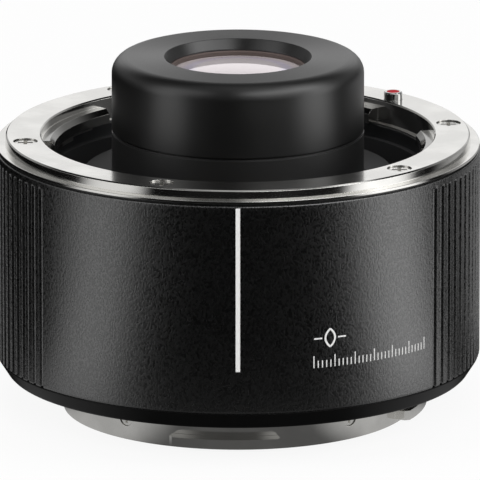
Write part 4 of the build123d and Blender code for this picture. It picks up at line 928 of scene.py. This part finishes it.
@dataclass
class BodyShell(Assembly):
    """The outer barrel with its grips, its index line and its printed marks."""

    wall: float = 1.5 * MM
    lip_reach: float = 1.1 * MM
    lip_height: float = 0.8 * MM
    foot_break: float = 0.4 * MM
    head_break: float = 0.25 * MM
    ink: float = 0.02 * MM
    flute_count: int = 25
    flute_pitch: float = math.radians(3.03)
    flute_width: float = 0.8 * MM
    flute_depth: float = 0.4 * MM
    flute_rim: float = 0.85 * MM
    flute_fade: float = 0.4 * MM
    fade_end: float = 0.15 * MM
    flute_squareness: int = 6
    flute_steps: int = 12
    rest_steps: int = 90
    symbol_angle: float = -72.0
    symbol_foot: float = 17.5 * MM
    symbol_top: float = 20.2 * MM
    symbol_width: float = 5.0 * MM
    lens_bulge: float = 0.75 * MM
    lens_steps: int = 12
    stroke: float = 0.3 * MM
    thin_stroke: float = 0.24 * MM
    axis_gap: float = 0.48 * MM
    mark_ink: float = 0.014 * MM
    tick_count: int = 31
    tick_group: int = 5
    tick_pitch: float = 1.05
    tick_foot: float = 14.5 * MM
    tick_height: float = 1.8 * MM
    short_tick: float = 0.6
    tick_width: float = 0.17 * MM

    def build(self) -> None:
        """Build the shell and its marks."""
        low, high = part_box("outer_barrel")
        self.radius = high.x - self.ink
        self.foot, self.head = low.z, high.z
        self.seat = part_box("front_bayonet")[0].z
        shell = turned("body_shell", self.outline(), self.angles(), self.fluted)
        self.add(shell, "body_black", "outer_barrel")
        self.dress("line_white", "index_line")
        marks = printed("body_marks", [*self.lens_symbol(), *self.scale()], self.radius, self.mark_ink)
        self.add(marks, "line_white")

    def lens_symbol(self) -> list[InkLine]:
        """Draw a lens section with the line of its axis through it.

        Returns:
            The two stretches of the axis, then the two faces.
        """
        left = math.radians(self.symbol_angle) * self.radius
        middle, right = left + self.symbol_width / 2, left + self.symbol_width
        tall = self.symbol_top - self.symbol_foot
        height = self.symbol_foot + tall / 2
        gap = self.lens_bulge + self.axis_gap
        axis = (((left, height), (middle - gap, height)), ((middle + gap, height), (right, height)))
        lines = [InkLine(ends, self.thin_stroke) for ends in axis]
        for side in (-1, 1):
            points = []
            for step in range(self.lens_steps + 1):
                share = step / self.lens_steps
                sag = self.lens_bulge * (1 - (2 * share - 1) ** 2)
                points.append((middle + side * sag, self.symbol_foot + tall * share))
            lines.append(InkLine(tuple(points), self.stroke))
        return lines

    def scale(self) -> list[InkLine]:
        """Draw a row of plain ticks, with the first of each group tall.

        Returns:
            The ticks, in order.
        """
        lines = []
        for place in range(self.tick_count):
            along = math.radians(self.symbol_angle + place * self.tick_pitch) * self.radius
            tall = self.tick_height * (self.short_tick if place % self.tick_group else 1)
            ends = ((along, self.tick_foot), (along, self.tick_foot + tall))
            lines.append(InkLine(ends, self.tick_width))
        return lines

    def outline(self) -> Outline:
        """Draw the wall's section, with a row of points where the flutes end.

        Returns:
            Radius and height of each point.
        """
        bore = self.radius - self.wall
        flute_top = self.head - self.flute_rim
        corners = (
            Corner(bore, self.foot),
            Corner(self.radius, self.foot, self.foot_break),
            Corner(self.radius, flute_top - self.flute_fade),
            Corner(self.radius, flute_top - self.fade_end),
            Corner(self.radius, flute_top),
            Corner(self.radius, self.head, self.head_break),
            Corner(bore, self.head),
            Corner(bore, self.seat),
            Corner(bore - self.lip_reach, self.seat),
            Corner(bore - self.lip_reach, self.seat - self.lip_height),
            Corner(bore, self.seat - self.lip_height),
        )
        return rounded_outline(corners)

    def angles(self) -> list[float]:
        """Place the sections: many over the grips, fewer between them.

        Returns:
            Their angles, in radians.
        """
        span = self.flute_count * self.flute_pitch
        rest = math.pi - span
        fine, coarse = self.flute_count * self.flute_steps, self.rest_steps
        angles = []
        for middle in (0, math.pi):
            angles += [middle - span / 2 + span * step / fine for step in range(fine)]
            angles += [middle + span / 2 + rest * step / coarse for step in range(coarse)]
        return angles

    def fluted(self, angle: float, r: float, z: float) -> float:
        """Return the radius of the skin, which the flutes draw in.

        Args:
            angle: The section's angle.
            r: The radius without flutes.
            z: The height.

        Returns:
            The radius with them.
        """
        top = self.head - self.flute_rim
        offset = (angle + math.pi / 2) % math.pi - math.pi / 2
        flute = round(offset / self.flute_pitch)
        on_skin = r > self.radius - self.foot_break - SAME_POINT
        if not on_skin or z > top or abs(flute) > self.flute_count // 2:
            return r
        across = (offset - flute * self.flute_pitch) * self.radius
        share = max(1 - (2 * across / self.flute_width) ** self.flute_squareness, 0)
        return r - self.flute_depth * share * min((top - z) / self.flute_fade, 1)


@dataclass
class RearSkirt(Assembly):
    """The sloping rear edge of the body and the seal inside it."""

    slope_run: float = 1.3 * MM
    wall: float = 0.5 * MM
    foot_break: float = 0.25 * MM
    lip_reach: float = 1.8 * MM
    lip_height: float = 0.8 * MM
    land: float = 1.7 * MM
    bead: float = 0.15 * MM
    foot_rounding: float = 0.05 * MM
    slope_rounding: float = 0.15 * MM
    bead_rounding: float = 0.1 * MM

    def build(self) -> None:
        """Build the skirt."""
        low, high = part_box("skirt_ring")
        barrel_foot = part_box("outer_barrel")[0].z
        top, bottom = high.x, high.x - self.slope_run
        lip_z = high.z - self.lip_height
        corners = (
            Corner(bottom - self.wall, low.z),
            Corner(bottom - self.foot_break, low.z, self.foot_rounding),
            Corner(bottom, low.z + self.foot_break, self.slope_rounding),
            Corner(top, barrel_foot - self.bead, self.bead_rounding),
            Corner(top, barrel_foot),
            Corner(top - self.land, barrel_foot),
            Corner(top - self.land, high.z),
            Corner(bottom - self.lip_reach, high.z),
            Corner(bottom - self.lip_reach, lip_z),
            Corner(bottom - self.wall, lip_z),
        )
        skirt = turned("rear_skirt", rounded_outline(corners))
        self.add(skirt, "skirt_black", "skirt_ring")
        self.dress("seal_rubber", "rear_seal")


@dataclass
class FrontMount(Assembly):
    """The front bayonet ring, its trim ring, screws and leaf spring."""

    band_height: float = 0.38 * MM
    step_depth: float = 0.3 * MM
    lap: float = 0.12 * MM
    foot_break: float = 0.04 * MM
    edge_break: float = 0.1 * MM

    def build(self) -> None:
        """Build the trim ring on its dark step and dress the rest."""
        low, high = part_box("trim_ring")
        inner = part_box("front_bayonet")[1].x - self.lap
        band_foot, step_edge = high.z - self.band_height, high.x - self.step_depth
        band = (
            Corner(inner, band_foot),
            Corner(high.x, band_foot, self.foot_break),
            Corner(high.x, high.z, self.edge_break),
            Corner(inner, high.z),
        )
        trim = turned("trim_band", rounded_outline(band))
        self.add(trim, "bayonet_steel", "trim_ring")
        step = (
            Corner(inner, low.z),
            Corner(step_edge, low.z),
            Corner(step_edge, band_foot),
            Corner(inner, band_foot),
        )
        self.add(turned("trim_step", rounded_outline(step)), "barrel_black")
        self.dress("claw_steel", "front_bayonet")
        self.dress("screw_steel", "front_bayonet_screws")
        self.dress("spring_steel", "bayonet_spring")


@dataclass
class FrontBarrel(Assembly):
    """The barrel that stands out of the mount: its cap, tube and shroud."""

    shoulder: float = 2.4 * MM
    mouth_radius: float = 10.8 * MM
    bevel_radius: float = 9.9 * MM
    bevel_depth: float = 1.4 * MM
    wall: float = 1.5 * MM
    seam_height: float = 0.3 * MM
    seam_depth: float = 0.6 * MM
    seam_break: float = 0.05 * MM
    mouth_break: float = 0.12 * MM
    bevel_break: float = 0.05 * MM
    cell_gap: float = 0.1 * MM
    cell_lap: float = 1 * MM
    shoulder_steps: int = 8
    sections: int = 288

    def build(self) -> None:
        """Build the cap and dress the rest."""
        low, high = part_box("barrel_cap")
        cell_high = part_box("optics_cell")[1]
        inner, seam = high.x - self.wall, high.x - self.seam_depth
        around_cell, ledge = cell_high.x + self.cell_gap, cell_high.z - self.cell_lap
        corners = (
            Corner(seam, low.z),
            Corner(seam, low.z + self.seam_height),
            Corner(high.x, low.z + self.seam_height, self.seam_break),
            Corner(high.x, high.z, self.shoulder),
            Corner(self.mouth_radius, high.z, self.mouth_break),
            Corner(self.bevel_radius, high.z - self.bevel_depth, self.bevel_break),
            Corner(self.bevel_radius, cell_high.z),
            Corner(around_cell, cell_high.z),
            Corner(around_cell, ledge),
            Corner(inner, ledge),
            Corner(inner, low.z),
        )
        cap = turned("front_cap", rounded_outline(corners, self.shoulder_steps), self.sections)
        self.add(cap, "barrel_black", "barrel_cap")
        self.dress("tube_black", "barrel_tube")
        self.dress("shroud_black", "inner_shroud")
        self.dress("screw_black", "tube_screws")


@dataclass
class Optics(Assembly):
    """The cell, its rings and the seven elements."""

    def build(self) -> None:
        """Dress the glass and what holds it."""
        for number, coating in enumerate(COATINGS, start=1):
            self.dress(coating.name, f"glass_{number}")
        self.dress("retainer_bronze", "front_retainer")
        self.dress("cell_black", "optics_cell", "front_spacer", "rear_spacer", "rear_retainer")


@dataclass
class Wiring(Assembly):
    """The contact blocks, pins, strips and the circuit board."""

    pins: int = 10
    spring_radius: float = 0.6 * MM
    spring_wire: float = 0.09 * MM
    spring_turns: float = 4.0

    def set_springs(self) -> None:
        """Stand a coil under each pin."""
        low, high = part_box("contact_springs")
        reach = Vector((0, 0, high.z - low.z))
        form = (reach, self.spring_radius, self.spring_wire, self.spring_turns)
        for number in range(1, self.pins + 1):
            pin = sum(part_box(f"contact_pin_{number}"), Vector()) / 2
            coil = Coil(f"contact_spring_{number}", Vector((pin.x, pin.y, low.z)), *form)
            coil.tie(self, "contact_springs", f"contact_press_{number}")

    def build(self) -> None:
        """Dress the electrical parts."""
        self.set_springs()
        pins = [f"contact_pin_{number}" for number in range(1, self.pins + 1)]
        self.dress("contact_gold", *pins, "rear_contact_pads")
        self.dress("contact_plastic", "front_contact_block", "contact_base", "rear_contact_block")
        self.dress("screw_steel", "contact_screws", "board_screws")
        self.dress("strip_amber", "front_strip", "rear_strip")
        self.dress("board_green", "circuit_board")
        self.dress("chip_black", "board_chips")


@dataclass
class RearMount(Assembly):
    """The rear bayonet, its screws and the light shield."""

    def build(self) -> None:
        """Dress the rear end."""
        self.dress("bayonet_steel", "rear_bayonet")
        self.dress("screw_steel", "rear_bayonet_screws", "spigot_screws")
        self.dress("shield_black", "light_shield")


@dataclass
class Chassis(Assembly):
    """The inner frame and the plate that carries the optics."""

    def build(self) -> None:
        """Dress the inner frame."""
        self.dress("chassis_metal", "chassis", "optics_plate")
        self.dress("screw_steel", "plate_screws")


@dataclass
class LockAndLever(Assembly):
    """The lock pin with its red dot, the release lever and their springs."""

    wire: float = 0.14 * MM
    pin_spring_turns: float = 4.5
    lever_spring_radius: float = 0.75 * MM
    lever_spring_turns: float = 8.0

    def set_pin_spring(self) -> None:
        """Stand the coil that lifts the lock pin."""
        low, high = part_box("lock_pin_spring")
        foot = Vector(((low.x + high.x) / 2, (low.y + high.y) / 2, low.z))
        reach = Vector((0, 0, high.z - low.z))
        radius = (high.x - low.x) / 2 - self.wire
        coil = Coil("pin_spring", foot, reach, radius, self.wire, self.pin_spring_turns)
        coil.tie(self, "lock_pin_spring", "lock_pin_drop")

    def set_lever_spring(self) -> None:
        """Lay the coil that brings the lever back, along the lever's way."""
        low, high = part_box("lever_spring")
        middle = (low + high) / 2
        outward = Vector((middle.x, middle.y, 0)).normalized()
        onward = Vector((-outward.y, outward.x, 0))
        width = 2 * (self.lever_spring_radius + self.wire)
        span = high.x - low.x + high.y - low.y
        length = (span - width * (abs(outward.x) + abs(outward.y))) / (abs(onward.x) + abs(onward.y))
        foot = middle + onward * (length / 2)
        radius, turns = self.lever_spring_radius, self.lever_spring_turns
        coil = Coil("return_spring", foot, onward * -length, radius, self.wire, turns)
        coil.tie(self, "lever_spring", "lever_slide_round")

    def build(self) -> None:
        """Dress the lock."""
        self.set_pin_spring()
        self.set_lever_spring()
        self.dress("pin_steel", "lock_pin")
        self.dress("dot_red", "lock_pin_dot")
        self.dress("lever_black", "release_lever")


# Studio


@dataclass(frozen=True)
class Panel:
    """A bright part of the surroundings, as polished surfaces see it.

    Its azimuth runs to the right from the camera's side. Angles are in degrees.
    """

    azimuth: float
    spread: float
    level: float
    lowest: float = -90.0
    highest: float = 90.0
    blur: float = 12.0

    def share(self, direction: Sequence[Field]) -> Field:
        """Return where it shows.

        Args:
            direction: Its parts to the right, away from the camera and, off the floor, upwards.

        Returns:
            Its share, from 0 to 1.
        """
        x, y, *rise = direction
        middle = math.radians(self.azimuth)
        facing = (x * math.sin(middle) - y * math.cos(middle)) / ((x * x + y * y) ** 0.5)
        share = facing.ramp(self.cosine(self.spread + self.blur), self.cosine(self.spread - self.blur))
        for height in rise:
            for limit, blur in ((self.lowest, self.blur), (self.highest, -self.blur)):
                share = share * height.ramp(self.sine(limit - blur), self.sine(limit + blur))
        return share

    @staticmethod
    def cosine(angle: float) -> float:
        """Return the cosine of an angle between 0 and a half turn."""
        return math.cos(math.radians(min(max(angle, 0), 180)))

    @staticmethod
    def sine(angle: float) -> float:
        """Return the sine of an elevation, which goes on rising past the zenith."""
        return math.sin(math.radians(angle)) if abs(angle) <= 90 else angle / 90


@dataclass(frozen=True)
class Lamp:
    """A soft lamp: its azimuth, elevation and distance, its size and its level."""

    name: str
    azimuth: float
    elevation: float
    distance: float
    size: tuple[float, float]
    level: float


# What polished surfaces see round the object, above the floor and on it
AROUND = (
    Panel(0, 180, 0.3, 10, 32, 8),
    Panel(0, 180, 0.4, 72, 120, 8),
    Panel(4, 34, 0.06, 4, 33, 10),
    Panel(178, 20, 0.95, 2, 32, 14),
    Panel(-70, 13, 1.0, -40, 50),
    Panel(78, 15, 1.6, -40, 55, 11),
    Panel(44, 24, 0.3, 5, 30, 8),
    Panel(50, 42, 2.8, 34, 58),
    Panel(-52, 22, 1.1, 34, 54),
)
FAR_FLOOR = (
    Panel(150, 34, 0.35),
    Panel(-62, 9, 0.85),
    Panel(72, 11, 1.3),
)
NEAR_FLOOR = (
    Panel(0, 60, 0.09, blur=30),
    Panel(-60, 16, 0.42, blur=20),
    Panel(64, 16, 0.45, blur=18),
)
LAMPS = (
    Lamp("left", -72, 30, 0.7, (0.35, 0.5), 2.6),
    Lamp("right", 76, 30, 0.7, (0.35, 0.5), 3.4),
    Lamp("front", 10, 35, 1.0, (0.6, 0.6), 3.0),
    Lamp("top", 180, 80, 0.8, (0.7, 0.5), 1.0),
)


@dataclass
class Studio:
    """The pale floor, the soft lamps, the surroundings and the camera."""

    floor_reach: float = 4.0
    floor_sides: int = 96
    floor_gap: float = 0.02 * MM
    floor_colour: Colour = (0.88, 0.88, 0.88)
    white_share: float = 0.9
    near_rim: tuple[float, float] = (48 * MM, 75 * MM)
    dark_level: float = 0.004
    sky_level: float = 0.5
    aim_height: float = 0.02472
    camera_distance: float = 1.78
    camera_tilt: float = 14.77
    focal_length: float = 910.5
    sensor: float = 36.0
    axis_shift: float = 0.0044
    sight: float = 20.0

    def build(self) -> None:
        """Set up the picture."""
        bpy.context.scene.view_settings.view_transform = "Standard"
        self.lay_floor()
        self.hang_sky()
        for lamp in LAMPS:
            self.hang(lamp)
        self.place_camera()

    def panelled(
        self, shader: Nodes, kind: str, panels: Sequence[Panel], direction: Sequence[Field]
    ) -> Socket:
        """Return dark surroundings with bright panels in them.

        Args:
            shader: The tree to add to.
            kind: The node that shines.
            panels: The panels.
            direction: The direction that they are seen in, as Panel.share takes it.

        Returns:
            The shader's socket.
        """
        seen = shader.node(kind, sockets={"Strength": self.dark_level}).outputs[0]
        for panel in panels:
            lit = shader.node(kind, sockets={"Color": WHITE, "Strength": panel.level}).outputs[0]
            seen = shader.blend(panel.share(direction), seen, lit)
        return seen

    def lay_floor(self) -> None:
        """Lay the floor, white to the camera and panelled to polished surfaces."""
        mesh = bmesh.new()
        bmesh.ops.create_circle(mesh, cap_ends=True, segments=self.floor_sides, radius=self.floor_reach)
        bmesh.ops.translate(mesh, verts=mesh.verts, vec=(0, 0, -self.floor_gap))
        floor = add_object("floor", mesh)
        material, shader = new_material("floor")
        camera, glossy, through = shader.rays()
        matt = shader.node("BsdfDiffuse", sockets={"Color": self.floor_colour}).outputs[0]
        white = shader.node("Emission").outputs[0]
        direction = shader.axes()[:2]
        near = self.panelled(shader, "Emission", NEAR_FLOOR, direction)
        far = self.panelled(shader, "Emission", FAR_FLOOR, direction)
        mirrored = shader.blend(shader.radius().ramp(*self.near_rim), near, far)
        shown = shader.blend((camera + through) * self.white_share, matt, white)
        shader.finish(shader.blend(glossy, shown, mirrored))
        floor.data.materials.append(material)

    def hang_sky(self) -> None:
        """Make the surroundings: white to the camera, panelled to polished surfaces."""
        world = bpy.data.worlds.new("studio")
        bpy.context.scene.world = world
        world.use_nodes = True
        shader = Nodes(world.node_tree)
        camera, glossy, through = shader.rays()
        split = shader.node("SeparateXYZ", sockets={0: shader.node("TexCoord").outputs["Generated"]})
        direction = [shader.field(split, axis) for axis in range(3)]
        plain = shader.node("Background", sockets={"Color": WHITE, "Strength": self.sky_level}).outputs[0]
        white = shader.node("Background", sockets={"Color": WHITE}).outputs[0]
        mirrored = self.panelled(shader, "Background", AROUND, direction)
        shown = shader.blend(camera + through, plain, white)
        shader.node("OutputWorld", sockets={"Surface": shader.blend(glossy, shown, mirrored)})

    def hang(self, lamp: Lamp) -> None:
        """Hang a soft lamp that faces the object and leaves no image of itself in it.

        Args:
            lamp: The lamp.
        """
        light = bpy.data.lights.new(lamp.name, "AREA")
        light.shape = "RECTANGLE"
        light.size, light.size_y = lamp.size
        light.energy = lamp.level * math.pi * lamp.size[0] * lamp.size[1]
        holder = add_object(lamp.name, light)
        azimuth, elevation = math.radians(lamp.azimuth), math.radians(lamp.elevation)
        level = math.cos(elevation)
        towards = Vector((math.sin(azimuth) * level, -math.cos(azimuth) * level, math.sin(elevation)))
        aim = Vector((0, 0, self.aim_height))
        holder.location = aim + towards * lamp.distance
        holder.rotation_euler = (-towards).to_track_quat("-Z", "Y").to_euler()
        holder.visible_glossy = False

    def place_camera(self) -> None:
        """Stand the camera where the picture was taken."""
        lens = bpy.data.cameras.new("camera")
        lens.lens = self.focal_length
        lens.sensor_width = self.sensor
        lens.shift_x = self.axis_shift
        lens.clip_end = self.sight
        camera = add_object("camera", lens)
        tilt = math.radians(self.camera_tilt)
        back = Vector((0, -math.cos(tilt), math.sin(tilt)))
        camera.location = Vector((0, 0, self.aim_height)) + back * self.camera_distance
        camera.rotation_euler = (math.pi / 2 - tilt, 0, 0)
        bpy.context.scene.camera = camera


def main() -> None:
    """Build and dress every sub-assembly, then the studio."""
    logging.basicConfig(level=logging.INFO)
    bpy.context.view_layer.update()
    materials = {finish.name: finish.make() for finish in (*FINISHES, *COATINGS)}
    smoothing = smoothing_group()
    front = (BodyShell, RearSkirt, FrontMount, FrontBarrel, Optics)
    rear = (Wiring, RearMount, Chassis, LockAndLever)
    for assembly in front + rear:
        assembly(materials, smoothing).build()
        log.info("built %s", assembly.__name__)
    Studio().build()


if __name__ == "__main__":
    main()
